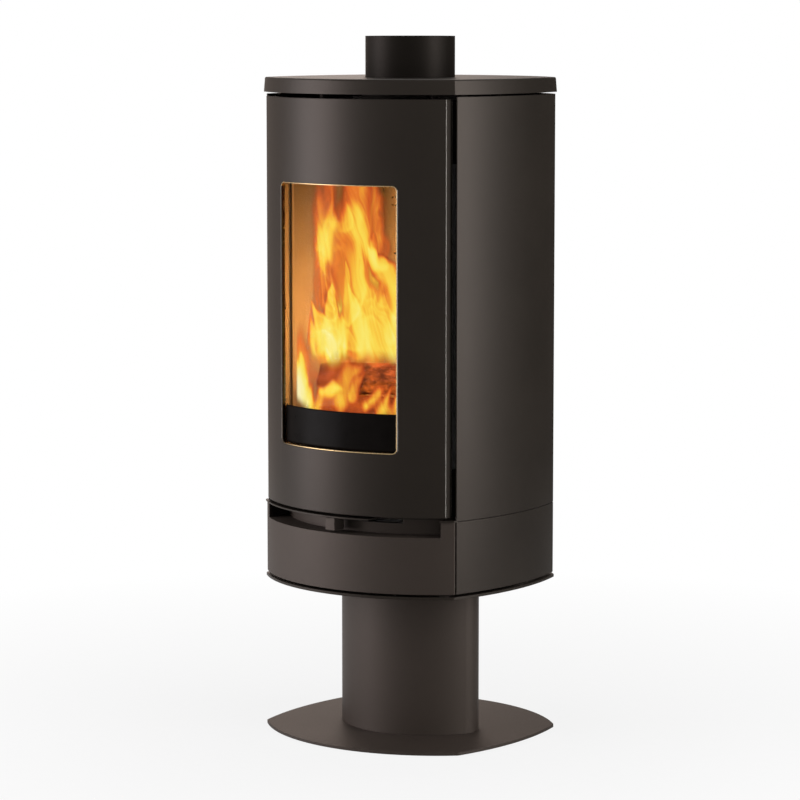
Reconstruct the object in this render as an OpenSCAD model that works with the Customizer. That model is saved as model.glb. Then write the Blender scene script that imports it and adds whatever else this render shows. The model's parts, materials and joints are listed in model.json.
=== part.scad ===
// Free-standing wood stove on a pedestal, in millimetres.
// The origin is on the floor at the middle of the plan. The door faces -Y and +Z is up.

/* [Body plan] */
// Width between the corners of the top plate
corner_w = 411; // [400:1:420]
// Depth between the corners of the top plate
corner_d = 292; // [286:1:300]
// How far the front and the back bow out past the corners
front_bow = 82.5; // [80:0.5:86]
// How far each side bows out past the corners
side_bow = 22.5; // [20:0.5:25]
// How far the panels and the door stand back from the edge of the top plate
panel_inset = 2.5; // [2:0.5:3]
// Thickness of the steel sheet in the panels
sheet_t = 2; // [1.5:0.25:2.5]
// Width of the folded edges of the panels
fold_w = 12; // [10:1:13]

/* [Pedestal] */
// Width between the corners of the base plate
base_corner_w = 421; // [410:1:430]
// Depth between the corners of the base plate
base_corner_d = 279; // [270:1:290]
// How far the front and back edges of the base plate bow out
base_front_bow = 86.5; // [82:0.5:90]
// How far the side edges of the base plate bow out
base_side_bow = 19.5; // [17:0.5:22]
// Thickness of the base plate
base_t = 5; // [5:0.5:8]
// Rounding of the base plate's corners
base_corner_r = 9; // [4:1:12]
// Radius of the column's front and back faces
column_face_r = 151; // [145:1:160]
// Depth of the column from front to back
column_depth = 200; // [192:1:210]
// Radius of the column's two ends
column_end_r = 38; // [34:1:42]
// Height of the column
column_h = 261; // [230:1:300]
// Wall of the column
column_wall = 3; // [2:0.5:4]
// Thickness of the flange at each end of the column
column_flange_t = 6; // [5:0.5:8]
// Radius of the duct openings in the base plate, the flanges and the back of the column
duct_way_r = 58; // [55:1:62]

/* [Lower cabinet] */
// Thickness of the bottom plate
bottom_t = 4.5; // [4:0.5:6]
// Open joint between the bottom plate and the panels above it
bottom_gap = 4.2; // [3:0.2:6]
// Height of the lower panels
lower_h = 122.8; // [118:0.2:130]
// Height of the slot under the shelf plate
slot_h = 26.5; // [24:0.5:30]
// Distance of each end of the slot from the corners of the top plate
slot_end = 18.5; // [16:0.5:22]
// Depth of the pocket behind the slot
pocket_depth = 40; // [36:1:42]
// Thickness of the shelf plate
shelf_t = 2.5; // [2:0.5:3]
// Width of the finger notch
notch_w = 110; // [100:1:112]
// Depth of the finger notch
notch_d = 35; // [30:1:37]
// Outside radius of the air duct
duct_r = 50; // [48:0.5:52]
// Wall of the air duct and of the air box
duct_wall = 1.5; // [1:0.25:2]
// How far the duct's spigot hangs below the bottom plate
spigot_l = 60; // [50:1:80]
// Width of the air box
air_box_w = 170; // [160:2:190]
// Height of the air box
air_box_h = 57.5; // [50:0.5:65]

/* [Air control] */
// Swing of the air lever each way
lever_swing = 22; // [15:1:24]
// Width of the lever arm
arm_w = 14; // [10:1:16]
// Thickness of the lever arm
arm_t = 4; // [3:0.5:5]
// Width of the knob
knob_w = 19.5; // [16:0.5:24]
// Height of the knob
knob_h = 21; // [18:0.5:22]
// Depth of the knob
knob_d = 26; // [20:1:30]
// How far the knob stands back behind the lower front panel
knob_setback = 3.5; // [2:0.5:6]
// Radius of the lever's pivot pin
pivot_r = 5; // [4:0.5:6]
// Radius of each air port in the shelf plate
port_r = 9; // [7:0.5:10]
// Distance of the air ports from the pivot
port_pitch_r = 50; // [46:1:52]

/* [Firebox] */
// Distance of the firebox's sides from the corners of the top plate
firebox_side_gap = 32.5; // [31:0.5:36]
// Distance of the firebox's back from the rear corners of the top plate
firebox_rear_gap = 8; // [4:1:14]
// Thickness of the firebox walls
firebox_wall = 4; // [3:0.5:5]
// Height of the door's inner frame above the firebox floor
hearth_drop = 11.9; // [9:0.1:16]
// Thickness of the front frame
front_frame_t = 4; // [3:0.5:5]
// Distance of the front frame's face behind the edge of the top plate
front_frame_inset = 38; // [37:0.5:39]
// Height of the fire opening above the lower edge of the door's inner frame
fire_sill = 14.1; // [13.5:0.1:20]
// Distance of the fire opening below the upper edge of the door's inner frame
fire_head = 18.9; // [17:0.1:24]
// Thickness of the lining boards at the sides
side_lining_t = 28; // [24:1:28]
// Thickness of the lining boards at the back
back_lining_t = 20; // [16:1:24]
// Depth of the air channel behind the back lining
air_channel = 9; // [7:1:12]
// Thickness of the lining board on the hearth
base_lining_t = 30; // [26:1:30]
// Height of the side and back linings above the fire opening
lining_head = 10; // [4:1:16]
// Height of the lower board of the back lining
back_board_h = 314; // [300:1:330]
// Height of the air slot between the back boards
air_slot_h = 4; // [3:0.5:6]
// Thickness of the lining baffle
baffle_t = 25; // [20:1:30]
// Length of the grate
grate_l = 150; // [140:2:160]
// Width of the grate
grate_w = 110; // [100:2:116]
// Height of the grate
grate_h = 22; // [18:1:24]
// Number of slots in the grate
grate_slots = 8; // [6:1:9]
// Width of the ash box
ash_box_w = 220; // [210:2:224]
// Depth of the ash box behind the front frame
ash_box_d = 244; // [220:2:260]
// Radius of the biggest log
log_r = 42; // [38:1:42]

/* [Door] */
// Open joint between the shelf plate and the door
door_gap = 4.4; // [3:0.2:6]
// Distance of the door's sides from the corners of the top plate
door_side_gap = 12; // [11.5:0.5:14]
// Height of the door
door_h = 697.4; // [696:0.2:700]
// Thickness of the door's outer skin
skin_t = 2.5; // [2:0.25:3]
// Depth of the folded edges of the skin
door_fold = 16.5; // [12:0.5:17]
// Height of the door above the window
window_head = 142.4; // [136:0.2:152]
// Height of the window's lower edge above the door's lower edge
window_sill = 106; // [106:0.5:110]
// Rounding of the window's corners
window_r = 9; // [5:1:14]
// Thickness of the web that the glass lies against
web_t = 4; // [3:0.5:4.5]
// Thickness of the glass
glass_t = 4; // [4:0.5:5]
// Thickness of the flat gasket in front of the glass
gasket_t = 2; // [1:0.5:2]
// How far the glass reaches past the window on each side
glass_lap = 12; // [10:0.5:13]
// Depth of the cast inner frame behind the web
frame_d = 24; // [22:0.5:24]
// Distance of the inner frame's sides from the sides of the door
frame_side_gap = 27.5; // [26.5:0.5:30]
// Width of the inner frame's upright bars
frame_bar = 21; // [20:0.5:24]
// Height of the inner frame below the window
frame_below = 28.5; // [27:0.5:31]
// Height of the inner frame above the window
frame_above = 34.5; // [33:0.5:37]
// Width of the rope seal
rope_w = 11; // [9:0.5:11.5]

/* [Hinge and latch] */
// Distance of the hinge and latch axes from the sides of the door
axis_side_gap = 15.3; // [14.5:0.1:16]
// Distance of the hinge and latch axes in front of the front frame
axis_stand = 21; // [20.5:0.5:22]
// Radius of the hinge pins and of the latch rod
pin_r = 4; // [3:0.5:4.5]
// Wall of the hinge bushes
bush_wall = 2; // [1:0.25:2.5]
// Radius of the round ears on the inner frame
ear_r = 9; // [8.5:0.5:10]
// Thickness of the ears
ear_t = 8; // [6:0.5:10]
// Thickness of the hinge brackets
bracket_t = 6; // [4:0.5:8]
// Thickness of the latch hooks
hook_t = 6; // [4:0.5:8]
// Turn of the latch from released to hooked
latch_turn = 28; // [24:1:28]
// Length of the finger lever
finger_l = 36; // [30:1:36]

/* [Top and flue] */
// Open joint between the door and the top plate
top_gap = 7.4; // [6:0.2:10]
// Open joint between the side panels and the top plate
panel_gap = 3.4; // [2:0.2:5]
// Height of the top plate's rim
rim_h = 25.2; // [22:0.2:30]
// How far the rim leans in towards the top
rim_lean = 1.7; // [0:0.1:3]
// Rounding of the rim's upper edge
rim_r = 3; // [2:0.5:5]
// Thickness of the top plate's deck and rim
deck_t = 6; // [5:0.5:8]
// Inside radius of the flue pipe
flue_r = 75; // [74:0.5:76]
// Wall of the flue pipe
flue_wall = 2; // [1.5:0.25:3]
// Height of the flue pipe above the top plate
flue_h = 70.1; // [40:0.1:120]

/* [Fits] */
// Gap between pieces that move past each other
run_gap = 0.3; // [0.3:0.05:0.5]
// Radial clearance of a pin in its bore
pin_gap = 0.05; // [0.03:0.01:0.08]
// Gap between fixed pieces that slot together
seat_gap = 0.3; // [0.1:0.05:0.4]

/* [Hidden] */
$fn = 48;
big_fn = 240;
over = 1;

paint = "#3b342e";
bare_steel = "#8a8781";
cast = "#2c2a28";
vermiculite = "#c9a878";

// Radius of an arc that spans a chord and rises above it by a bow
function bow_radius(chord, bow) = (chord * chord / 4 + bow * bow) / (2 * bow);

// Plan = [face radius, distance of its centre behind the middle, side radius, the same for the side]
function bowed_plan(w, d, face_bow, flank_bow) = [
    bow_radius(w, face_bow),
    bow_radius(w, face_bow) - d / 2 - face_bow,
    bow_radius(d, flank_bow),
    bow_radius(d, flank_bow) - w / 2 - flank_bow
];

body_plan = bowed_plan(corner_w, corner_d, front_bow, side_bow);
base_plan = bowed_plan(base_corner_w, base_corner_d, base_front_bow, base_side_bow);
front_r = body_plan[0];
front_cy = body_plan[1];
side_r = body_plan[2];
side_cx = body_plan[3];

// Y at X of the arc of a given radius about the front's centre
function front_y(r, x) = front_cy - sqrt(r * r - x * x);

// Heights
z_bottom = base_t + column_h;
z_cabinet = z_bottom + bottom_t;
z_lower = z_cabinet + bottom_gap;
z_shelf = z_lower + lower_h;
z_body = z_shelf + shelf_t;
z_door = z_body + door_gap;
z_door_top = z_door + door_h;
z_rim = z_door_top + top_gap;
z_top = z_rim + rim_h;
z_flue = z_top + flue_h;
z_panel_top = z_rim - panel_gap;
z_slot = z_shelf - slot_h;
slot_w = corner_w - 2 * slot_end;
notch_x = slot_w / 2 - notch_w;

// Front shells, from the outside in
panel_r = front_r - panel_inset;
skin_in_r = panel_r - skin_t;
web_r = skin_in_r - web_t;
glass_r = web_r - gasket_t;
glass_in_r = glass_r - glass_t;
frame_in_r = web_r - frame_d;
face_r = front_r - front_frame_inset;
pocket_r = panel_r - pocket_depth;

// Side and rear panels
panel_side_r = side_r - panel_inset;
panel_end_gap = 5;
side_front_y = -corner_d / 2 + panel_inset + panel_end_gap - 0.5;
side_rear_y = corner_d / 2 - panel_end_gap;
rear_half_w = corner_w / 2 - panel_inset;

// Pedestal
column_cy = column_face_r - column_depth / 2;
column_end_x = sqrt(pow(column_face_r - column_end_r, 2) - column_cy * column_cy);
column_bolt = [column_end_x - 9, column_end_r - 8];
bolt_r = 4;
bolt_hole_r = bolt_r + 0.1;
bolt_head_r = 7.5;
bolt_head_h = 4;

// Door, from its sides inwards: inner frame, glass, window
door_w = corner_w - 2 * door_side_gap;
frame_w = door_w - 2 * frame_side_gap;
glass_edge = 8;
glass_w = frame_w - 2 * frame_bar - 2 * glass_edge;
window_w = glass_w - 2 * glass_lap;
window_h = door_h - window_sill - window_head;
z_window = z_door + window_sill;
window_relief = 3;
z_frame = z_window - frame_below;
z_frame_top = z_window + window_h + frame_above;
rope_margin = 6;
rope_seat = 3.3;
clip_x = frame_w / 2 - frame_bar;
clip_rows = [0.14, 0.5, 0.86];
clip_h = 18;
clip_t = 2.5;
clip_hole_d = 8;

// Hinge and latch axes, the same distance either side of the middle
axis_r = face_r + axis_stand;
axis_x = door_w / 2 - axis_side_gap;
axis_y = front_y(axis_r, axis_x);
fold_end_y = front_y(panel_r, door_w / 2) + door_fold;
bush_flange = 1.2;
z_upper_bracket = z_frame_top + bush_flange + run_gap;
z_lower_bracket = z_frame - bush_flange - run_gap - bracket_t;
z_hook_low = z_frame - 26;
z_hook_high = z_frame_top + 20;
z_finger = z_door + 8;
finger_h = 12;
pad_w = 26;
pad_t = 3.5;

// Firebox
fb_x = corner_w / 2 - firebox_side_gap;
firebox_w = 2 * fb_x;
firebox_back = corner_d / 2 - firebox_rear_gap;
z_hearth = z_frame - hearth_drop;
hearth_h = z_hearth - z_body;
z_base_top = z_hearth + firebox_wall + base_lining_t;
z_roof = z_door_top - 5.8;
z_fire = z_frame + fire_sill;
z_fire_top = z_frame_top - fire_head;
z_lining_top = z_fire_top + lining_head;
fb_in_x = fb_x - firebox_wall;
fb_in_back = firebox_back - firebox_wall;
lining_gap = 1;
lining_in_x = fb_in_x - side_lining_t - lining_gap;
lining_in_y = fb_in_back - air_channel - back_lining_t;
lining_front_r = face_r - front_frame_t - seat_gap;
fire_w = 2 * lining_in_x;
guard_t = 4;
guard_r = lining_front_r - 4;
grate_y = -10;
baffle_way = 45;
ash_box_back = front_y(lining_front_r, 0) + ash_box_d;

// Heat shields
spacer_l = 26;
shield_edge = 30;
shield_fix_x = 110;
shield_fix_in = 70;
shield_stand = 4;
shield_t = 1.5;

// Supports, and the posts under the top plate
support_side_gap = 55.5;
support_front_gap = 61;
support_rear_gap = 41;
support_t = 3;
support_w = 15;
post_side_gap = 85.5;
post_end_gap = 61;
post_r = 9;

// Air control
lever_top = z_shelf - run_gap;
shutter_t = 2;
arm_z = lever_top - shutter_t - arm_t;
knob_r = panel_r - knob_setback;
hub_r = 10;
hub_drop = 2;
arm_seat = 6;
port_angles = [-2 * lever_swing, 0, 2 * lever_swing];
port_cover = 3;
air_box_front = -duct_r - 8;
air_box_back = front_cy + port_pitch_r + port_r + 14;
z_air_box = z_shelf - air_box_h;

// Solid with a bowed plan, inset from its outline
module bowed_solid(plan, inset, z, h) {
    translate([0, 0, z]) intersection() {
        translate([0, plan[1], 0]) cylinder(r = plan[0] - inset, h = h, $fn = big_fn);
        translate([0, -plan[1], 0]) cylinder(r = plan[0] - inset, h = h, $fn = big_fn);
        translate([-plan[3], 0, 0]) cylinder(r = plan[2] - inset, h = h, $fn = big_fn);
        translate([plan[3], 0, 0]) cylinder(r = plan[2] - inset, h = h, $fn = big_fn);
    }
}

// What a rounding of radius r takes off the four corners of a bowed plan
module corner_cuts(plan, inset, r, z, h) {
    a = plan[0] - inset - r;
    b = plan[2] - inset - r;
    // Centre of the rounding: a from the face's centre [0, p], b from the side's centre [-q, 0]
    p = plan[1];
    q = plan[3];
    d = sqrt(p * p + q * q);
    along = (b * b - a * a + d * d) / (2 * d);
    off = sqrt(b * b - along * along);
    cx = -q + along * q / d + off * p / d;
    cy = along * p / d - off * q / d;
    face_t = [cx, cy] + r * [cx, cy - p] / a;
    side_t = [cx, cy] + r * [cx + q, cy] / b;
    far = [cx, cy] + 3 * r * ([cx, cy - p] / a + [cx + q, cy] / b);
    for (sx = [0, 1]) for (sy = [0, 1])
        mirror([sx, 0, 0]) mirror([0, sy, 0]) translate([0, 0, z - over]) difference() {
            linear_extrude(height = h + 2 * over) polygon([[cx, cy], face_t, far, side_t]);
            translate([cx, cy, -over]) cylinder(r = r, h = h + 4 * over, $fn = big_fn);
        }
}

// Curved sheet concentric with the front, from x0 to x1 and z0 to z1, t thick inwards from r
module front_sheet(r, t, x0, x1, z0, z1) {
    intersection() {
        translate([0, front_cy, z0]) difference() {
            cylinder(r = r, h = z1 - z0, $fn = big_fn);
            translate([0, 0, -over]) cylinder(r = r - t, h = z1 - z0 + 2 * over, $fn = big_fn);
        }
        translate([x0, -front_r, z0]) cube([x1 - x0, front_r - 40, z1 - z0]);
    }
}

// The same sheet as a border, w wide at the sides and bar high at the top and bottom
module front_border(r, t, half_w, z0, z1, w, bar) {
    difference() {
        front_sheet(r, t, -half_w, half_w, z0, z1);
        translate([w - half_w, -front_r, z0 + bar]) cube([2 * (half_w - w), front_r, z1 - z0 - 2 * bar]);
    }
}

// Curved sheet of the right-hand side, between two Y and two Z; seam is where its circle closes
module side_sheet(r, t, y0, y1, z0, z1, seam) {
    intersection() {
        translate([-side_cx, 0, z0]) rotate([0, 0, seam]) difference() {
            cylinder(r = r, h = z1 - z0, $fn = big_fn);
            translate([0, 0, -over]) cylinder(r = r - t, h = z1 - z0 + 2 * over, $fn = big_fn);
        }
        translate([0, y0, z0]) cube([side_r, y1 - y0, z1 - z0]);
    }
}

// Rounded rectangle prism along Y, centred on X, standing on z0
module rounded_hole(w, h, r, z0) {
    translate([0, 0, z0 + h / 2]) rotate([90, 0, 0]) linear_extrude(height = front_r) union() {
        if (w > 2 * r) square([w - 2 * r, h], center = true);
        square([w, h - 2 * r], center = true);
        for (sx = [-1, 1]) for (sz = [-1, 1]) translate([sx * (w / 2 - r), sz * (h / 2 - r)]) circle(r = r);
    }
}

// Lens-shaped column section with round ends, inset from its outline
module column_solid(inset, z, h) {
    r = column_end_r - inset;
    reach = column_face_r - column_end_r;
    tip = [column_end_x + 4 * column_end_r, 0];
    touch = [column_end_x, 0] + r * [column_end_x, -column_cy] / reach;
    difference() {
        translate([0, 0, z]) intersection() {
            translate([0, column_cy, 0]) cylinder(r = column_face_r - inset, h = h, $fn = big_fn);
            translate([0, -column_cy, 0]) cylinder(r = column_face_r - inset, h = h, $fn = big_fn);
        }
        for (sx = [0, 1]) mirror([sx, 0, 0]) translate([0, 0, z - over]) difference() {
            linear_extrude(height = h + 2 * over)
                polygon([[column_end_x, 0], touch, [tip[0], 4 * touch[1]], [tip[0], -4 * touch[1]],
                         [touch[0], -touch[1]]]);
            translate([column_end_x, 0, -over]) cylinder(r = r, h = h + 4 * over, $fn = big_fn);
        }
    }
}

// Puts its child at the four bolts of the column
module at_column_bolts() {
    for (sx = [-1, 1]) for (sy = [-1, 1])
        translate([sx * column_bolt[0], sy * column_bolt[1], 0]) children();
}

module base_plate() {
    color(paint) difference() {
        bowed_solid(base_plan, 0, 0, base_t);
        corner_cuts(base_plan, 0, base_corner_r, 0, base_t);
        translate([0, 0, -over]) cylinder(r = duct_way_r, h = base_t + 2 * over, $fn = 96);
        at_column_bolts() translate([0, 0, -over]) cylinder(r = bolt_hole_r, h = base_t + 2 * over);
        at_column_bolts() translate([0, 0, -over])
            cylinder(r = bolt_head_r + seat_gap, h = base_t - 1 + over);
    }
}

module column() {
    color(paint) difference() {
        column_solid(0, base_t, column_h);
        column_solid(column_wall, base_t - over, column_h + 2 * over);
        translate([0, column_depth / 4, base_t + column_h / 2]) rotate([-90, 0, 0])
            cylinder(r = duct_way_r, h = column_depth, $fn = 96);
    }
}

// Flanges welded inside both ends of the column
module column_flanges() {
    color(bare_steel) for (z = [base_t, z_bottom - column_flange_t]) difference() {
        column_solid(column_wall, z, column_flange_t);
        translate([0, 0, z - over]) cylinder(r = duct_way_r, h = column_flange_t + 2 * over, $fn = 96);
        at_column_bolts() translate([0, 0, z - over])
            cylinder(r = bolt_hole_r, h = column_flange_t + 2 * over);
    }
}

module column_bolts() {
    shank = column_flange_t + 3;
    color(bare_steel) at_column_bolts() {
        translate([0, 0, base_t - 1 - bolt_head_h + 0.5]) cylinder(r = bolt_head_r, h = bolt_head_h - 0.5);
        translate([0, 0, base_t - 1]) cylinder(r = bolt_r, h = 1 + shank);
        translate([0, 0, z_cabinet]) cylinder(r = bolt_head_r, h = bolt_head_h);
        translate([0, 0, z_bottom - shank]) cylinder(r = bolt_r, h = shank + bottom_t);
    }
}

module bottom_plate() {
    edge_inset = 0.6;
    color(paint) difference() {
        bowed_solid(body_plan, edge_inset, z_bottom, bottom_t);
        corner_cuts(body_plan, edge_inset, 4, z_bottom, bottom_t);
        translate([0, 0, z_bottom - over]) {
            cylinder(r = duct_r + seat_gap, h = bottom_t + 2 * over, $fn = 96);
            at_column_bolts() cylinder(r = bolt_hole_r, h = bottom_t + 2 * over);
        }
    }
}

module air_duct() {
    z0 = z_bottom - spigot_l;
    color(bare_steel) difference() {
        union() {
            translate([0, 0, z0]) cylinder(r = duct_r, h = z_air_box - z0, $fn = 96);
            translate([0, 0, z_cabinet]) cylinder(r = duct_r + 10, h = sheet_t, $fn = 96);
        }
        translate([0, 0, z0 - over])
            cylinder(r = duct_r - duct_wall, h = z_air_box - z0 + 2 * over, $fn = 96);
    }
}

module air_box() {
    depth = air_box_back - air_box_front;
    slit_w = 2 * ((front_cy - air_box_front) * tan(lever_swing) + arm_w);
    color(bare_steel) difference() {
        translate([-air_box_w / 2, air_box_front, z_air_box]) cube([air_box_w, depth, air_box_h]);
        translate([duct_wall - air_box_w / 2, air_box_front + duct_wall, z_air_box + duct_wall])
            cube([air_box_w - 2 * duct_wall, depth - 2 * duct_wall, air_box_h]);
        translate([0, 0, z_air_box - over]) cylinder(r = duct_r - duct_wall, h = 4, $fn = 96);
        translate([-slit_w / 2, air_box_front - over, arm_z - 1])
            cube([slit_w, 2 * over + duct_wall, air_box_h]);
    }
}

// Channel between the bottom plate and the shelf plate, on the right-hand side
module support() {
    y0 = support_front_gap - corner_d / 2;
    depth = corner_d / 2 - support_rear_gap - y0;
    translate([corner_w / 2 - support_side_gap, y0, z_cabinet]) {
        cube([support_t, depth, z_shelf - z_cabinet]);
        cube([support_w, depth, support_t]);
        translate([0, 0, z_shelf - z_cabinet - support_t]) cube([support_w, depth, support_t]);
    }
}

module support_left() {
    color(bare_steel) mirror([1, 0, 0]) support();
}

module support_right() {
    color(bare_steel) support();
}

module shelf_plate() {
    side_inset = panel_inset + sheet_t + 0.5;
    color(paint) difference() {
        union() {
            bowed_solid(body_plan, side_inset, z_shelf, shelf_t);
            intersection() {
                bowed_solid(body_plan, 0, z_shelf, shelf_t);
                translate([-corner_w, -front_r, z_shelf])
                    cube([2 * corner_w, front_r + side_front_y - 0.5, shelf_t]);
            }
        }
        front_sheet(front_r + over, notch_d + over, notch_x, notch_x + notch_w,
                    z_shelf - over, z_body + over);
        translate([0, front_cy, z_shelf - over]) cylinder(r = pivot_r, h = shelf_t + 2 * over);
        for (a = port_angles) translate([0, front_cy, z_shelf - over]) rotate([0, 0, a])
            translate([0, port_pitch_r, 0]) cylinder(r = port_r, h = shelf_t + 2 * over);
    }
}

module lower_front_panel() {
    half_w = corner_w / 2 - 1.5;
    fold_half = half_w - 10;
    color(paint) {
        difference() {
            union() {
                front_sheet(panel_r, sheet_t, -half_w, half_w, z_lower, z_shelf);
                front_sheet(panel_r, fold_w, -fold_half, fold_half, z_lower, z_lower + sheet_t);
            }
            translate([-slot_w / 2, -front_r, z_slot]) cube([slot_w, front_r, slot_h + over]);
        }
    }
}

module slot_pocket() {
    half_w = slot_w / 2 + sheet_t;
    slit_half = pocket_r * sin(lever_swing) + arm_w;
    front = panel_r - sheet_t;
    color(paint) difference() {
        front_sheet(front, front - pocket_r + sheet_t, -half_w, half_w, z_slot - sheet_t, z_shelf);
        front_sheet(front + over, front - pocket_r + over, -slot_w / 2, slot_w / 2, z_slot, z_shelf + over);
        front_sheet(pocket_r + over, sheet_t + 2 * over, -slit_half, slit_half, arm_z - 2, z_shelf + over);
    }
}

// Right-hand side panel with folded edges at the top and the bottom
module side_panel(z0, z1, fold0, seam) {
    fold_y0 = side_front_y + 30;
    fold_y1 = side_rear_y - 4;
    side_sheet(panel_side_r, sheet_t, side_front_y, side_rear_y, z0, z1, seam);
    side_sheet(panel_side_r, fold_w, fold_y0, fold_y1, fold0, fold0 + sheet_t, seam);
    side_sheet(panel_side_r, fold_w, fold_y0, fold_y1, z1 - sheet_t, z1, seam);
}

module lower_side_panel_left() {
    color(paint) mirror([1, 0, 0]) side_panel(z_lower, z_shelf, z_lower, 0);
}

module lower_side_panel_right() {
    color(paint) side_panel(z_lower, z_shelf, z_lower, 180);
}

module side_panel_left() {
    color(paint) mirror([1, 0, 0]) side_panel(z_shelf + 1, z_panel_top, z_body, 0);
}

module side_panel_right() {
    color(paint) side_panel(z_shelf + 1, z_panel_top, z_body, 180);
}

// Bowed rear panel with folded edges
module back_panel(z0, z1, fold0) {
    fold_half = rear_half_w - 24;
    rotate([0, 0, 180]) {
        front_sheet(panel_r, sheet_t, -rear_half_w, rear_half_w, z0, z1);
        front_sheet(panel_r, fold_w, -fold_half, fold_half, fold0, fold0 + sheet_t);
        front_sheet(panel_r, fold_w, -fold_half, fold_half, z1 - sheet_t, z1);
    }
}

// Row of upright convection slots through the rear panel
module vent_row(h, z0) {
    count = 11;
    pitch = 24;
    w = 8;
    for (i = [0 : count - 1]) translate([(i - (count - 1) / 2) * pitch, 0, 0])
        rotate([0, 0, 180]) rounded_hole(w, h, w / 2, z0);
}

module lower_rear_panel() {
    color(paint) difference() {
        back_panel(z_lower, z_shelf, z_lower);
        vent_row(lower_h - 64, z_lower + 32);
    }
}

module rear_panel() {
    vent_h = 80;
    color(paint) difference() {
        back_panel(z_shelf + 1, z_panel_top, z_body);
        vent_row(vent_h, z_panel_top - 40 - vent_h);
        vent_row(vent_h, z_body + 40);
    }
}

// Three blades that cover the air ports at rest and clear them as the lever swings
module shutter() {
    r = port_pitch_r + port_r + port_cover;
    half = asin(port_r / port_pitch_r) + 0.7;
    intersection() {
        cylinder(r = r, h = shutter_t, $fn = 96);
        for (a = port_angles) rotate([0, 0, a]) linear_extrude(height = shutter_t)
            polygon([[0, 0], 2 * r * [sin(half), cos(half)], 2 * r * [-sin(half), cos(half)]]);
    }
}

module air_lever() {
    reach = knob_r - knob_d + arm_seat;
    color(bare_steel) translate([0, front_cy, 0]) difference() {
        union() {
            translate([-arm_w / 2, -reach, arm_z]) cube([arm_w, reach, arm_t]);
            translate([0, 0, arm_z - hub_drop]) cylinder(r = hub_r, h = lever_top - arm_z + hub_drop);
            translate([0, 0, lever_top - shutter_t]) shutter();
        }
        translate([0, 0, arm_z - hub_drop - over])
            cylinder(r = pivot_r + pin_gap, h = 3 * arm_t + 2 * over);
    }
}

module air_lever_knob() {
    bottom = z_slot + (slot_h - knob_h) / 2 + 1;
    color(paint) difference() {
        intersection() {
            translate([-knob_w / 2, front_cy - knob_r - 5, bottom]) cube([knob_w, knob_d + 5, knob_h]);
            translate([0, front_cy, bottom]) cylinder(r = knob_r, h = knob_h, $fn = big_fn);
        }
        translate([-arm_w / 2, front_cy - knob_r + knob_d - arm_seat, arm_z])
            cube([arm_w, arm_seat + over, arm_t]);
    }
}

module air_lever_pin() {
    z0 = arm_z - hub_drop - run_gap;
    head_r = pivot_r + 3;
    head_h = 3;
    color(bare_steel) translate([0, front_cy, 0]) {
        translate([0, 0, z0]) cylinder(r = pivot_r, h = z_body - z0);
        translate([0, 0, z0 - head_h]) cylinder(r = head_r, h = head_h);
    }
}

module firebox() {
    grate_seat = 10;
    air_way_w = 36;
    air_way_pitch = 50;
    h = z_roof - z_body;
    depth = firebox_back + front_r;
    color(cast) difference() {
        intersection() {
            translate([-fb_x, firebox_back - depth, z_body]) cube([firebox_w, depth, h]);
            translate([0, front_cy, z_body]) cylinder(r = face_r - front_frame_t, h = h, $fn = big_fn);
        }
        translate([-fb_in_x, fb_in_back - depth, z_body - over])
            cube([2 * fb_in_x, depth, hearth_h + over]);
        translate([-fb_in_x, fb_in_back - depth, z_hearth + firebox_wall])
            cube([2 * fb_in_x, depth, h - hearth_h - 2 * firebox_wall]);
        translate([grate_seat - grate_l / 2, grate_y + grate_seat - grate_w / 2, z_hearth - over])
            cube([grate_l - 2 * grate_seat, grate_w - 2 * grate_seat, firebox_wall + 2 * over]);
        for (i = [-2 : 2])
            translate([i * air_way_pitch - air_way_w / 2, fb_in_back - air_channel + 1, z_hearth - over])
                cube([air_way_w, air_channel - 2, firebox_wall + 2 * over]);
        translate([0, 0, z_roof - firebox_wall - over])
            cylinder(r = flue_r - 2, h = 3 * firebox_wall, $fn = 96);
    }
}

module front_frame() {
    ash_edge = 6;
    color(cast) difference() {
        front_sheet(face_r, front_frame_t, -fb_x, fb_x, z_body, z_roof);
        rounded_hole(fire_w, z_fire_top - z_fire, 12, z_fire);
        rounded_hole(ash_box_w, hearth_h - 2 * ash_edge, ash_edge, z_body + ash_edge);
    }
}

// Lining board clipped to the curve of the front frame
module lining_board(x0, x1, y1, z0, z1) {
    intersection() {
        translate([x0, -front_r, z0]) cube([x1 - x0, y1 + front_r, z1 - z0]);
        translate([0, front_cy, z0]) cylinder(r = lining_front_r, h = z1 - z0, $fn = big_fn);
    }
}

module lining_left() {
    color(vermiculite) lining_board(-fb_in_x + seat_gap, -lining_in_x, lining_in_y + back_lining_t,
                                    z_base_top, z_lining_top);
}

module lining_right() {
    color(vermiculite) lining_board(lining_in_x, fb_in_x - seat_gap, lining_in_y + back_lining_t,
                                    z_base_top, z_lining_top);
}

module lining_back_lower() {
    half_w = lining_in_x - seat_gap;
    color(vermiculite) translate([-half_w, lining_in_y, z_base_top])
        cube([2 * half_w, back_lining_t, back_board_h]);
}

module lining_back_upper() {
    half_w = lining_in_x - seat_gap;
    z0 = z_base_top + back_board_h;
    foot = 22;
    hole_r = 2.2;
    hole_pitch = 29;
    hole_rows = [66, 80];
    pairs = floor((half_w - 18) / hole_pitch);
    color(vermiculite) difference() {
        translate([-half_w, lining_in_y, z0]) cube([2 * half_w, back_lining_t, z_lining_top - z0]);
        translate([-half_w + foot, lining_in_y - over, z0 - over])
            cube([2 * (half_w - foot), back_lining_t + 2 * over, air_slot_h + over]);
        for (i = [-pairs : pairs]) for (dx = [-3.5, 3.5]) for (dz = hole_rows)
            translate([i * hole_pitch + dx, lining_in_y - over, z_lining_top - dz]) rotate([-90, 0, 0])
                cylinder(r = hole_r, h = back_lining_t + 2 * over, $fn = 16);
    }
}

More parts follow.
